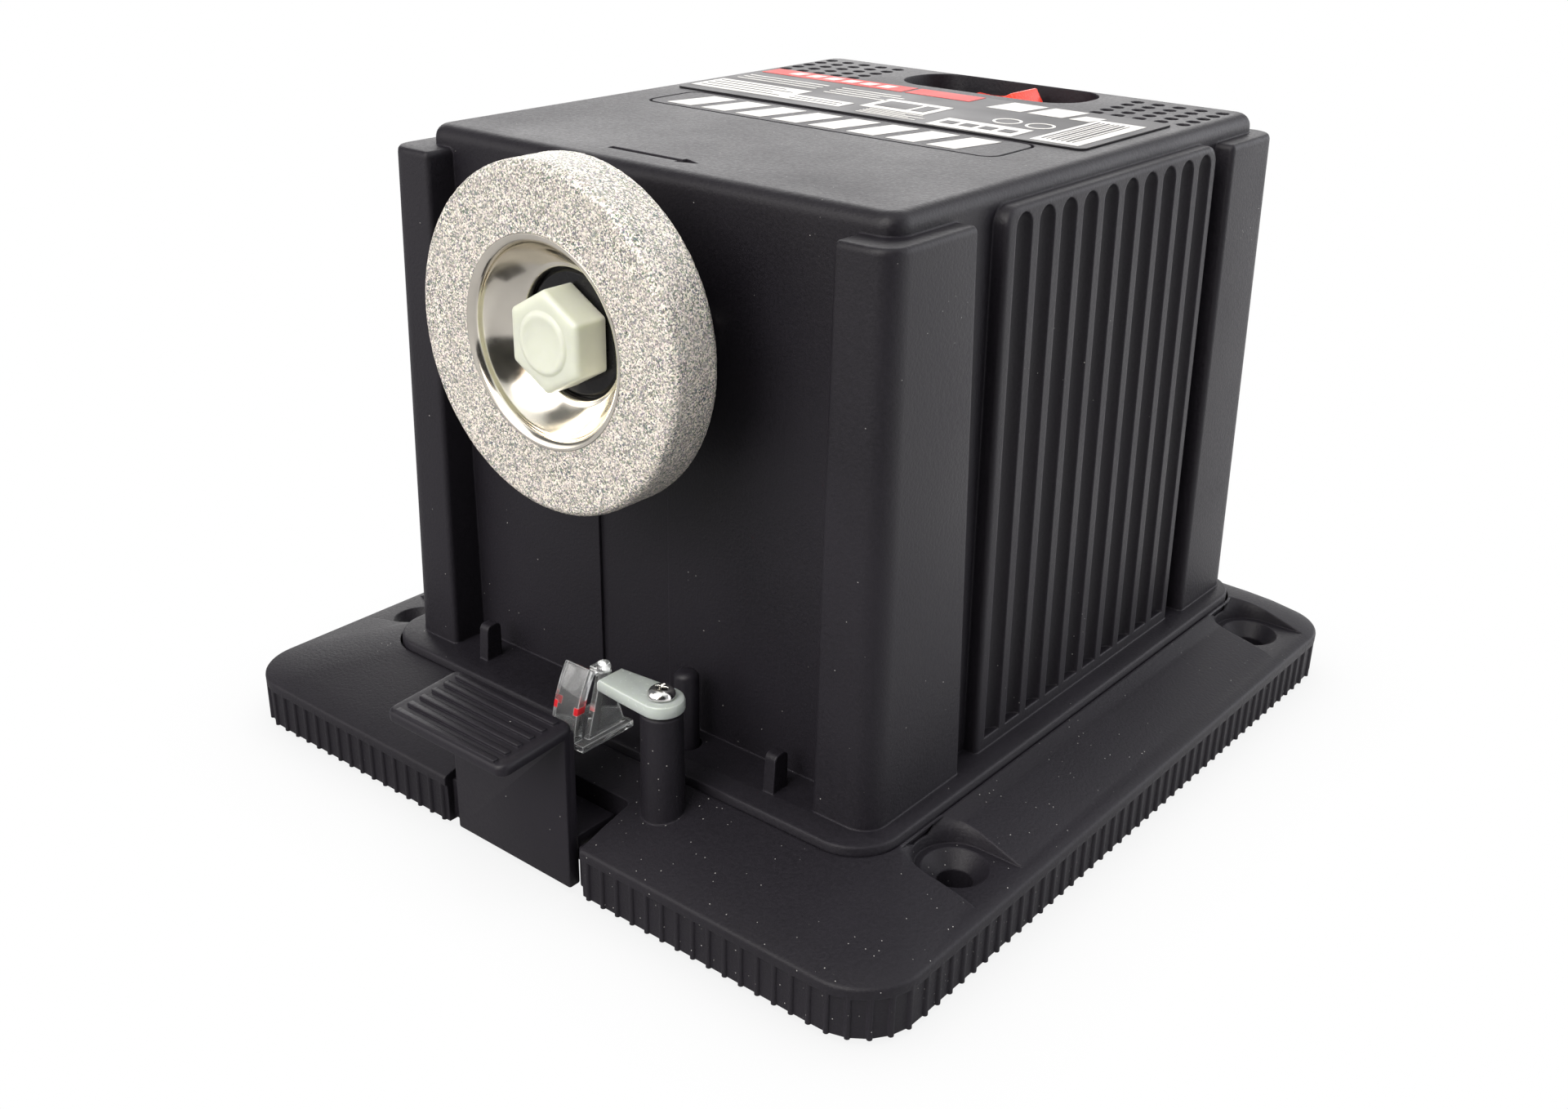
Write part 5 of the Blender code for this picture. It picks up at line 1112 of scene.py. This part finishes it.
def build_wheel():
    front, back = WHEEL_LOW.y, WHEEL_HIGH.y
    rim = (WHEEL_HIGH.x - WHEEL_LOW.x) / 2.0
    seed = 7
    random.seed(seed)

    def along(points, spacing):
        """Fills a polyline with evenly spaced points."""
        filled = []
        for (r0, y0), (r1, y1) in zip(points, points[1:]):
            count = max(1, int(math.hypot(r1 - r0, y1 - y0) / spacing))
            for step in range(count):
                share = step / count
                filled.append((r0 + (r1 - r0) * share, y0 + (y1 - y0) * share))
        filled.append(points[-1])
        return filled

    inner = 15.55 * MM
    edge = 1.3 * MM
    outer = [(inner, front + 0.05 * MM), (rim - edge, front)]
    for step in range(1, 9):
        angle = math.radians(90.0 * step / 8.0)
        outer.append((rim - edge + edge * math.sin(angle), front + edge - edge * math.cos(angle)))
    for step in range(9):
        angle = math.radians(90.0 * step / 8.0)
        outer.append((rim - edge + edge * math.cos(angle), back - edge + edge * math.sin(angle)))
    outer += [(inner, back)]
    surface = along(outer, 0.42 * MM)
    profile = surface + [(inner, back - 0.2 * MM), (inner, front + 0.3 * MM)]
    grit = lathe("wheel_grit", profile, (0.0, 0.0, SHAFT_Z), "Y", steps=360, smooth_angle=80.0)
    for vert in grit.data.vertices:
        radius = math.hypot(vert.co.x, vert.co.z - SHAFT_Z)
        if radius > inner + 0.1 * MM:
            lump = noise.noise(vert.co * 1900.0) + 0.6 * random.uniform(-1.0, 1.0)
            across = Vector((vert.co.x, 0.0, vert.co.z - SHAFT_Z)) / radius
            reach = min(1.0, max(0.0, (radius - (rim - edge)) / edge))
            facing = -1.0 if vert.co.y < (front + back) / 2.0 else 1.0
            push = across * reach + Vector((0.0, facing, 0.0)) * (1.0 - reach)
            vert.co += push * (min(lump, 0.9) - 0.9) * 0.055 * MM
    dress(grit, LOOKS["grit"], "diamond_grit", "rotor", "grinding_wheel")

    web_front = front + 5.9 * MM
    web_back = front + 7.4 * MM
    roll = 1.45 * MM
    bowl = [(9.72 * MM, web_front + 0.25 * MM), (9.95 * MM, web_front), (10.3 * MM, web_front)]
    for step in range(1, 15):
        angle = math.radians(90.0 * step / 14.0)
        share = step / 14.0
        reach = 10.3 * MM + 3.75 * MM * (0.3 * math.sin(angle) + 0.7 * share)
        rise = (web_front - front - roll) * (0.3 * (1.0 - math.cos(angle)) + 0.7 * share)
        bowl.append((reach, web_front - rise))
    lip = []
    for step in range(1, 11):
        angle = math.radians(9.0 * step)
        lip.append((15.5 * MM - roll * math.cos(angle), front + roll - roll * math.sin(angle)))
    behind = [
        (15.5 * MM, front + 0.6 * MM),
        (15.5 * MM, back - 0.05 * MM),
        (14.4 * MM, back - 0.05 * MM),
        (14.2 * MM, web_back),
        (9.72 * MM, web_back),
    ]
    core = lathe("wheel_core", bowl + lip + behind, (0.0, 0.0, SHAFT_Z), "Y", steps=160, smooth_angle=50.0)
    dress(core, LOOKS["nickel"], "bright_screw", "rotor")

    flange = [
        (2.7 * MM, HUB_LOW.y + 0.3 * MM),
        (3.0 * MM, HUB_LOW.y),
        (8.9 * MM, HUB_LOW.y),
        (9.3 * MM, HUB_LOW.y + 0.4 * MM),
        (9.3 * MM, -55.1 * MM),
        (13.1 * MM, -55.1 * MM),
        (13.5 * MM, -54.7 * MM),
        (13.5 * MM, -51.4 * MM),
        (13.1 * MM, -51.0 * MM),
        (6.4 * MM, -50.2 * MM),
        (6.0 * MM, -49.8 * MM),
        (6.0 * MM, HUB_HIGH.y),
        (2.7 * MM, HUB_HIGH.y),
    ]
    hub = lathe("hub_flange", flange, (0.0, 0.0, SHAFT_Z), "Y", steps=96)
    dress(hub, LOOKS["gloss_black"], "component", "rotor", "wheel_hub")

    corner = (NUT_HIGH.z - NUT_LOW.z) / 2.0 + 0.25 * MM
    nut_front, nut_back = NUT_LOW.y, NUT_HIGH.y

    def nut_ring(y, inset):
        fillet = 0.75 * MM
        reach = corner - 1.1547 * inset - 0.1547 * fillet
        ring = []
        for side in range(6):
            middle = math.radians(30.0 + 60.0 * side)
            centre = reach - fillet
            for step in range(7):
                angle = middle + math.radians(-30.0 + 10.0 * step)
                x = centre * math.cos(middle) + fillet * math.cos(angle)
                z = centre * math.sin(middle) + fillet * math.sin(angle)
                ring.append(Vector((x, y, SHAFT_Z + z)))
        return ring

    rings = [nut_ring(nut_back, 0.3 * MM), nut_ring(nut_back - 0.3 * MM, 0.0), nut_ring(nut_front + 1.3 * MM, 0.0)]
    for depth, inset in ((0.95, 0.06), (0.68, 0.22), (0.48, 0.50), (0.37, 0.90), (0.33, 1.5)):
        rings.append(nut_ring(nut_front + depth * MM, inset * MM))
    nut = loft("nut_body", rings, 40.0)
    mark = [
        (0.0, nut_front + 0.14 * MM),
        (3.3 * MM, nut_front + 0.14 * MM),
        (3.7 * MM, nut_front + 0.02 * MM),
        (4.1 * MM, nut_front),
        (4.5 * MM, nut_front + 0.12 * MM),
        (4.8 * MM, nut_front + 0.40 * MM),
        (4.8 * MM, nut_front + 0.9 * MM),
        (0.0, nut_front + 0.9 * MM),
    ]
    boss = lathe("nut_mark", mark, (0.0, 0.0, SHAFT_Z), "Y", steps=96)
    thread = rod("thread", (0.0, -60.0 * MM, SHAFT_Z), (0.0, -50.0 * MM, SHAFT_Z), 2.7 * MM)
    combine(nut, [("UNION", [boss]), ("DIFFERENCE", [thread])], 40.0)
    dress(nut, LOOKS["nut"], "milky_nylon", "rotor", "wheel_nut")


# ---------------------------------------------------------------- lever, gauge, plunger

def build_lever():
    plate_front = -73.4 * MM
    plate_back = -71.2 * MM
    half = 12.7 * MM
    top = 28.9 * MM
    front = LEVER_LOW.y + 0.3 * MM
    plate = box("lever_moulding", (-half, plate_front, LEVER_LOW.z), (half, plate_back, top - 1.2 * MM), 0.35 * MM, 2)
    pad_plan = (LEVER_LOW.x, LEVER_HIGH.x, front - 0.3 * MM, plate_back)
    rings = []
    for drop, inset in ((2.1, 0.5), (1.75, 0.1), (1.4, 0.0), (0.7, 0.0), (0.3, 0.12), (0.08, 0.35), (0.0, 0.7)):
        ring = []
        for point in rounded_plan(pad_plan, 1.6 * MM, 0.0, inset=inset * MM, steps=8):
            share = (plate_back - point.y) / (plate_back - front)
            ring.append(Vector((point.x, point.y, top - share * MM - drop * MM)))
        rings.append(ring)
    pad = loft("pad", rings)
    ridges = []
    for index in range(6):
        y = (-73.0 - index * 2.3) * MM
        z = top - MM * (plate_back - y) / (plate_back - front)
        low = (-10.8 * MM, y - 0.55 * MM, z - 0.6 * MM)
        high = (10.8 * MM, y + 0.55 * MM, z + 0.42 * MM)
        ridges.append(box("pad_ridge", low, high, 0.14 * MM, 3))
    pin_y = (PIN_LOW.y + PIN_HIGH.y) / 2.0
    pin_z = (PIN_LOW.z + PIN_HIGH.z) / 2.0
    barrel = rod("barrel", (-12.2 * MM, pin_y, pin_z), (12.2 * MM, pin_y, pin_z), 2.6 * MM)
    claw_outline = [
        (plate_back - 0.5 * MM, 17.0 * MM),
        (plate_back + 2.7 * MM, 17.0 * MM),
        (plate_back + 4.9 * MM, 20.0 * MM),
        (plate_back + 3.3 * MM, 22.4 * MM),
        (plate_back - 0.5 * MM, 22.4 * MM),
    ]
    claw = prism("claw", claw_outline, "X", -11.0 * MM, -5.0 * MM, 0.2 * MM)
    shelf = box(
        "shelf",
        (-12.4 * MM, plate_back - 0.4 * MM, 6.8 * MM),
        (12.4 * MM, NOTCH_BACK - 0.8 * MM, 9.3 * MM),
        0.25 * MM,
        2,
    )
    bore = rod("bore", (-14.0 * MM, pin_y, pin_z), (14.0 * MM, pin_y, pin_z), 1.3 * MM)
    combine(plate, [("UNION", [pad] + ridges + [barrel, claw, shelf]), ("DIFFERENCE", [bore])], 32.0)
    dress(plate, LOOKS["lever"], "black_plastic", "lever", "thumb_lever")


def build_gauge():
    x = (SCREW_LOW.x + SCREW_HIGH.x) / 2.0
    y = (SCREW_LOW.y + SCREW_HIGH.y) / 2.0
    low, high = ARM_LOW.z, ARM_HIGH.z
    half = (ARM_HIGH.y - ARM_LOW.y) / 2.0
    left = ARM_LOW.x
    rings = []
    for z, inset in ((low, 0.35), (low + 0.1 * MM, 0.1), (low + 0.35 * MM, 0.0), (high - 0.6 * MM, 0.0), (high - 0.18 * MM, 0.18), (high, 0.6)):
        ring = []
        for a, b in arc((0.0, 0.0), half - inset * MM, -90.0, 90.0, 24):
            ring.append(Vector((x + a, y + b, z)))
        narrow = half * 0.74 - inset * MM
        ring.append(Vector((x - 6.0 * MM, y + (half + narrow) / 2.0 - inset * 0.5 * MM, z)))
        ring.append(Vector((left + inset * MM, y + narrow, z)))
        ring.append(Vector((left + inset * MM, y - narrow, z)))
        ring.append(Vector((x - 6.0 * MM, y - (half + narrow) / 2.0 + inset * 0.5 * MM, z)))
        rings.append(ring)
    arm = loft("arm_moulding", rings)
    hole = rod("hole", (x, y, 20.0 * MM), (x, y, 40.0 * MM), 1.6 * MM)
    combine(arm, [("DIFFERENCE", [hole])], 40.0)
    dress(arm, LOOKS["arm"], "milky_nylon", "gauge", "gauge_arm")

    top = SCREW_HIGH.z
    under = high + 0.2 * MM
    profile = [
        (0.0, top),
        (0.7 * MM, top - 0.04 * MM),
        (1.3 * MM, top - 0.2 * MM),
        (1.75 * MM, top - 0.5 * MM),
        (2.05 * MM, top - 0.95 * MM),
        (2.15 * MM, top - 1.3 * MM),
        (2.15 * MM, under),
        (1.2 * MM, under),
        (1.2 * MM, 20.8 * MM),
        (0.0, 20.3 * MM),
    ]
    head = lathe("screw_body", profile, (x, y, 0.0), steps=72)
    cross = []
    for turn in (18.0, 108.0):
        blade = loft(
            "blade",
            [
                [Vector((-0.5, -0.12, -1.3)), Vector((0.5, -0.12, -1.3)), Vector((0.5, 0.12, -1.3)), Vector((-0.5, 0.12, -1.3))],
                [Vector((-1.35, -0.22, 0.4)), Vector((1.35, -0.22, 0.4)), Vector((1.35, 0.22, 0.4)), Vector((-1.35, 0.22, 0.4))],
            ],
        )
        blade.data.transform(
            Matrix.Translation((x, y, top)) @ Matrix.Rotation(math.radians(turn), 4, "Z") @ Matrix.Scale(MM, 4)
        )
        cross.append(blade)
    combine(head, [("DIFFERENCE", cross)], 35.0)
    dress(head, LOOKS["bright"], "bright_screw", "gauge", "gauge_screw")


def build_sight():
    low, high = SIGHT_LOW, SIGHT_HIGH
    foot = box("sight_moulding", (low.x, low.y, low.z), (high.x, high.y, low.z + 1.2 * MM), 0.25 * MM, 2)
    bend = 22.6 * MM
    centre = (low.y + bend, low.z)
    wall_outline = arc(centre, bend, 180.0, 147.0, 20)
    wall_outline += arc(centre, bend - 1.7 * MM, 147.0, 180.0, 20)
    wall = prism("wall", wall_outline, "X", low.x + 1.9 * MM, high.x - 1.8 * MM)
    soften(wall, 0.22 * MM, 2, 50.0)
    knob_x = high.x - 1.1 * MM
    knob_y = -60.6 * MM
    stem = box("stem", (high.x - 3.2 * MM, knob_y - 1.0 * MM, 30.9 * MM), (knob_x, knob_y + 0.9 * MM, 32.2 * MM), 0.2 * MM, 2)
    knob = lathe(
        "knob",
        [
            (0.0, 30.6 * MM),
            (1.1 * MM, 30.6 * MM),
            (1.1 * MM, high.z - 0.6 * MM),
            (0.9 * MM, high.z - 0.2 * MM),
            (0.5 * MM, high.z),
            (0.0, high.z),
        ],
        (knob_x, knob_y, 0.0),
        steps=48,
    )
    gusset = prism(
        "gusset",
        [(-64.6 * MM, 20.9 * MM), (-56.4 * MM, 20.9 * MM), (-59.8 * MM, 31.6 * MM), (-61.4 * MM, 31.6 * MM)],
        "X",
        high.x - 2.0 * MM,
        high.x - 0.9 * MM,
    )
    soften(gusset, 0.2 * MM, 2, 30.0)
    combine(foot, [("UNION", [wall, stem, knob, gusset])], 35.0)
    dress(foot, LOOKS["clear"], "clear_acrylic", "gauge", "sight_piece")


def build_plunger():
    x = (PLUNGER_LOW.x + PLUNGER_HIGH.x) / 2.0
    y = (PLUNGER_LOW.y + PLUNGER_HIGH.y) / 2.0
    top = PLUNGER_HIGH.z
    profile = [
        (0.0, top),
        (0.9 * MM, top - 0.1 * MM),
        (1.6 * MM, top - 0.5 * MM),
        (2.0 * MM, top - 1.1 * MM),
        (2.0 * MM, 11.6 * MM),
        (3.2 * MM, 11.6 * MM),
        (3.2 * MM, 10.4 * MM),
        (1.2 * MM, 10.4 * MM),
        (1.2 * MM, PLUNGER_LOW.z),
        (0.0, PLUNGER_LOW.z),
    ]
    pin = lathe("plunger_pin", profile, (x, y, 0.0), steps=64)
    dress(pin, LOOKS["lever"], "black_plastic", "plunger", "interlock_plunger")


def build_plunger_spring():
    """A wound wire, the interlock plunger's spring."""
    low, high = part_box("plunger_spring")
    centre = Vector(((low.x + high.x) / 2.0, (low.y + high.y) / 2.0, 0.0))
    wire = 0.3 * MM
    radius = (high.x - low.x) / 2.0 - wire
    turns = 4
    steps = 32
    climb = high.z - low.z - 2.0 * wire
    lean = math.atan2(climb / turns, math.tau * radius)
    rings = []
    for step in range(turns * steps + 1):
        angle = math.tau * step / steps
        outward = Vector((math.cos(angle), math.sin(angle), 0.0))
        forward = Vector((-math.sin(angle), math.cos(angle), 0.0))
        upward = Vector((0.0, 0.0, math.cos(lean))) - forward * math.sin(lean)
        middle = centre + outward * radius
        middle.z = low.z + wire + climb * step / (turns * steps)
        rings.append([middle + outward * a + upward * b for a, b in arc((0.0, 0.0), wire, 0.0, 324.0, 9)])
    spring = loft("interlock_spring", rings, 60.0)
    dress(spring, LOOKS["spring"], "spring_steel", "frame", "plunger_spring")
    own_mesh(spring)


# ---------------------------------------------------------------- cord and plug

def build_cord():
    x = (RELIEF_LOW.x + RELIEF_HIGH.x) / 2.0
    z = (RELIEF_LOW.z + RELIEF_HIGH.z) / 2.0
    inner = 2.7 * MM
    profile = [(inner, RELIEF_LOW.y), (3.3 * MM, RELIEF_LOW.y), (3.3 * MM, 73.9 * MM), (4.1 * MM, 73.9 * MM), (4.1 * MM, 76.0 * MM)]
    for index in range(6):
        y = (77.2 + index * 3.3) * MM
        radius = (4.0 - 0.12 * index) * MM
        profile += [(radius, y), (radius - 0.75 * MM, y + 0.25 * MM), (radius - 0.75 * MM, y + 1.25 * MM), (radius - 0.1 * MM, y + 1.5 * MM)]
    profile += [(3.25 * MM, RELIEF_HIGH.y - 0.4 * MM), (3.0 * MM, RELIEF_HIGH.y), (inner, RELIEF_HIGH.y)]
    relief = lathe("relief_sleeve", profile, (x, 0.0, z), "Y", steps=64, smooth_angle=30.0)
    dress(relief, LOOKS["cord"], "cord_sheath", "frame", "strain_relief")

    low, high = PLUG_LOW, PLUG_HIGH
    middle_y = (low.y + high.y) / 2.0
    middle_z = (low.z + high.z) / 2.0
    length = high.x - low.x
    rings = []
    for share, width, height in (
        (0.0, 0.40, 0.52), (0.03, 0.50, 0.60), (0.16, 0.62, 0.70), (0.19, 0.58, 0.64), (0.24, 0.58, 0.64),
        (0.27, 0.66, 0.72), (0.33, 0.62, 0.68), (0.38, 0.62, 0.68), (0.41, 0.73, 0.80), (0.47, 0.69, 0.74),
        (0.52, 0.70, 0.75), (0.56, 0.84, 0.90), (0.66, 0.98, 1.0), (0.95, 0.98, 1.0), (0.985, 0.95, 0.96), (1.0, 0.90, 0.88),
    ):
        half_y = (high.y - low.y) / 2.0 * width
        half_z = (high.z - low.z) / 2.0 * height
        ring = []
        for corner in rounded_plan((-half_y, half_y, -half_z, half_z), half_z * 0.9, 0.0, steps=8):
            ring.append(Vector((high.x - length * share, middle_y + corner.x, middle_z + corner.y)))
        rings.append(ring)
    plug = loft("plug_moulding", rings, 40.0)
    dress(plug, LOOKS["cord"], "cord_sheath", "frame", "plug_body")


# ---------------------------------------------------------------- the rest of the frame

def dress_cad_nodes():
    slots = {part["node"]: part["material_slot"] for part in frame["record"]["subparts"]}
    for name, node in CAD_NODES.items():
        if name in REPLACED:
            continue
        look = LOOKS[CAD_LOOKS[slots[name]]]
        node.data.materials.clear()
        node.data.materials.append(look)


# ---------------------------------------------------------------- stage

def build_stage():
    bm = bmesh.new()
    bmesh.ops.create_grid(bm, x_segments=1, y_segments=1, size=6.0)
    floor = to_object("floor", bm)
    look = Look("floor_white_paper")
    fibre = look.noise(700.0, 3.0)
    # Painted light: in bounced light and reflections, the floor runs from dark grey in front of the part to pale
    # behind it.
    across = look.sum("ADD", look.sum("MULTIPLY", look.axis(0), 0.35), look.axis(1))
    painted_light_sweep = look.mix(look.span(across, -0.10, 0.16, 0.0, 1.0), (0.30, 0.30, 0.31), (0.84, 0.84, 0.85))
    look.set(
        Base_Color=look.mix(look.span(fibre, 0.3, 0.7, 0.0, 0.04), painted_light_sweep, (0.64, 0.64, 0.65)),
        Roughness=0.85,
        Specular_IOR_Level=0.1,
    )
    # Seen by the camera, the floor is white emission, darkened by ambient occlusion into a painted contact shadow
    # near the part.
    paths = look.tree.nodes.new("ShaderNodeLightPath")
    near = look.tree.nodes.new("ShaderNodeAmbientOcclusion")
    near.samples = 8
    near.inputs["Distance"].default_value = 22.0 * MM
    glow = look.tree.nodes.new("ShaderNodeEmission")
    look.put(glow.inputs["Strength"], look.span(near.outputs["AO"], 0.35, 0.95, FLOOR_SHADE, 1.0))
    choose = look.tree.nodes.new("ShaderNodeMixShader")
    look.put(choose.inputs[0], paths.outputs["Is Camera Ray"])
    look.tree.links.new(look.shader.outputs[0], choose.inputs[1])
    look.tree.links.new(glow.outputs[0], choose.inputs[2])
    look.tree.links.new(choose.outputs[0], look.tree.nodes["Material Output"].inputs["Surface"])
    floor.data.materials.append(look.material)
    build_world()


FLOOR_SHADE = 0.88
AMBIENT = (0.30, 0.26)
SOFTBOXES = (
    ("window_back_left", (-0.60, 0.70, 0.36), 12.0, 34.0, 2.6, (1.0, 0.985, 0.98)),
    ("key_front", (0.05, -0.78, 0.62), 14.0, 36.0, 7.0, (1.0, 0.975, 0.95)),
    ("front_left", (-0.62, -0.74, 0.20), 12.0, 30.0, 1.9, (1.0, 0.97, 0.96)),
    ("top", (0.15, 0.10, 1.0), 18.0, 46.0, 0.9, (1.0, 1.0, 1.0)),
    ("right_back", (0.64, 0.76, 0.08), 18.0, 48.0, 2.8, (0.96, 0.96, 1.0)),
    ("camera_side", (0.62, -0.68, 0.30), 20.0, 33.0, -6.0, (1.0, 1.0, 1.0)),
)


def build_world():
    """A dim studio with softboxes; the backdrop itself is seen as plain white."""
    world = bpy.data.worlds.new("studio")
    bpy.context.scene.world = world
    world.use_nodes = True
    tree = world.node_tree
    background = tree.nodes["Background"]
    coord = tree.nodes.new("ShaderNodeTexCoord").outputs["Generated"]

    def maths(operation, first, second):
        node = tree.nodes.new("ShaderNodeVectorMath")
        node.operation = operation
        for socket, value in zip(node.inputs, (first, second)):
            if isinstance(value, bpy.types.NodeSocket):
                tree.links.new(value, socket)
            else:
                socket.default_value = value
        return node

    total = None
    for name, direction, inner, outer, level, tint in SOFTBOXES:
        facing = maths("DOT_PRODUCT", coord, Vector(direction).normalized()).outputs["Value"]
        ramp = tree.nodes.new("ShaderNodeMapRange")
        ramp.name = name
        ramp.interpolation_type = "SMOOTHSTEP"
        tree.links.new(facing, ramp.inputs["Value"])
        ramp.inputs["From Min"].default_value = math.cos(math.radians(outer))
        ramp.inputs["From Max"].default_value = math.cos(math.radians(inner))
        lit = maths("SCALE", tuple(channel * level for channel in tint), (0.0, 0.0, 0.0))
        tree.links.new(ramp.outputs["Result"], lit.inputs["Scale"])
        if total is None:
            total = lit.outputs[0]
        else:
            total = maths("ADD", total, lit.outputs[0]).outputs[0]
    side = maths("DOT_PRODUCT", coord, Vector((0.75, 0.55, 0.0))).outputs["Value"]
    ambient = tree.nodes.new("ShaderNodeMapRange")
    tree.links.new(side, ambient.inputs["Value"])
    ambient.inputs["From Min"].default_value = -0.6
    ambient.inputs["From Max"].default_value = 0.6
    ambient.inputs["To Min"].default_value = AMBIENT[0] - AMBIENT[1] / 2.0
    ambient.inputs["To Max"].default_value = AMBIENT[0] + AMBIENT[1] / 2.0
    lifted = maths("SCALE", (0.97, 0.98, 1.0), (0.0, 0.0, 0.0))
    tree.links.new(ambient.outputs["Result"], lifted.inputs["Scale"])
    total = maths("ADD", total, lifted.outputs[0]).outputs[0]
    total = maths("MAXIMUM", total, (0.03, 0.03, 0.03)).outputs[0]
    paths = tree.nodes.new("ShaderNodeLightPath")
    seen = tree.nodes.new("ShaderNodeMix")
    seen.data_type = "RGBA"
    tree.links.new(paths.outputs["Is Camera Ray"], seen.inputs[0])
    tree.links.new(total, seen.inputs[6])
    seen.inputs[7].default_value = (1.0, 1.0, 1.0, 1.0)
    tree.links.new(seen.outputs[2], background.inputs["Color"])
    background.inputs["Strength"].default_value = 1.0


def build_camera():
    camera = bpy.data.objects.new("camera", bpy.data.cameras.new("camera"))
    bpy.context.scene.collection.objects.link(camera)
    camera.data.sensor_width = 36.0
    camera.data.lens = 37.87
    camera.data.clip_start = 0.01
    camera.data.clip_end = 50.0
    azimuth = math.radians(38.951)
    elevation = math.radians(24.759)
    roll = math.radians(1.083)
    back = Vector(
        (
            math.sin(azimuth) * math.cos(elevation),
            -math.cos(azimuth) * math.cos(elevation),
            math.sin(elevation),
        )
    )
    right = (-back).cross(Vector((0.0, 0.0, 1.0))).normalized()
    up = right.cross(-back)
    tilted_right = right * math.cos(roll) + up * math.sin(roll)
    tilted_up = up * math.cos(roll) - right * math.sin(roll)
    turn = Matrix((tilted_right, tilted_up, back)).transposed()
    camera.matrix_world = Matrix.Translation(Vector((165.82, -212.99, 151.77)) * MM) @ turn.to_4x4()
    bpy.context.scene.camera = camera


build_base()
build_housing()
build_label()
build_switch()
build_wheel()
build_lever()
build_gauge()
build_sight()
build_plunger()
build_plunger_spring()
build_cord()
dress_cad_nodes()
build_stage()
build_camera()
bpy.context.scene.view_settings.view_transform = "Standard"
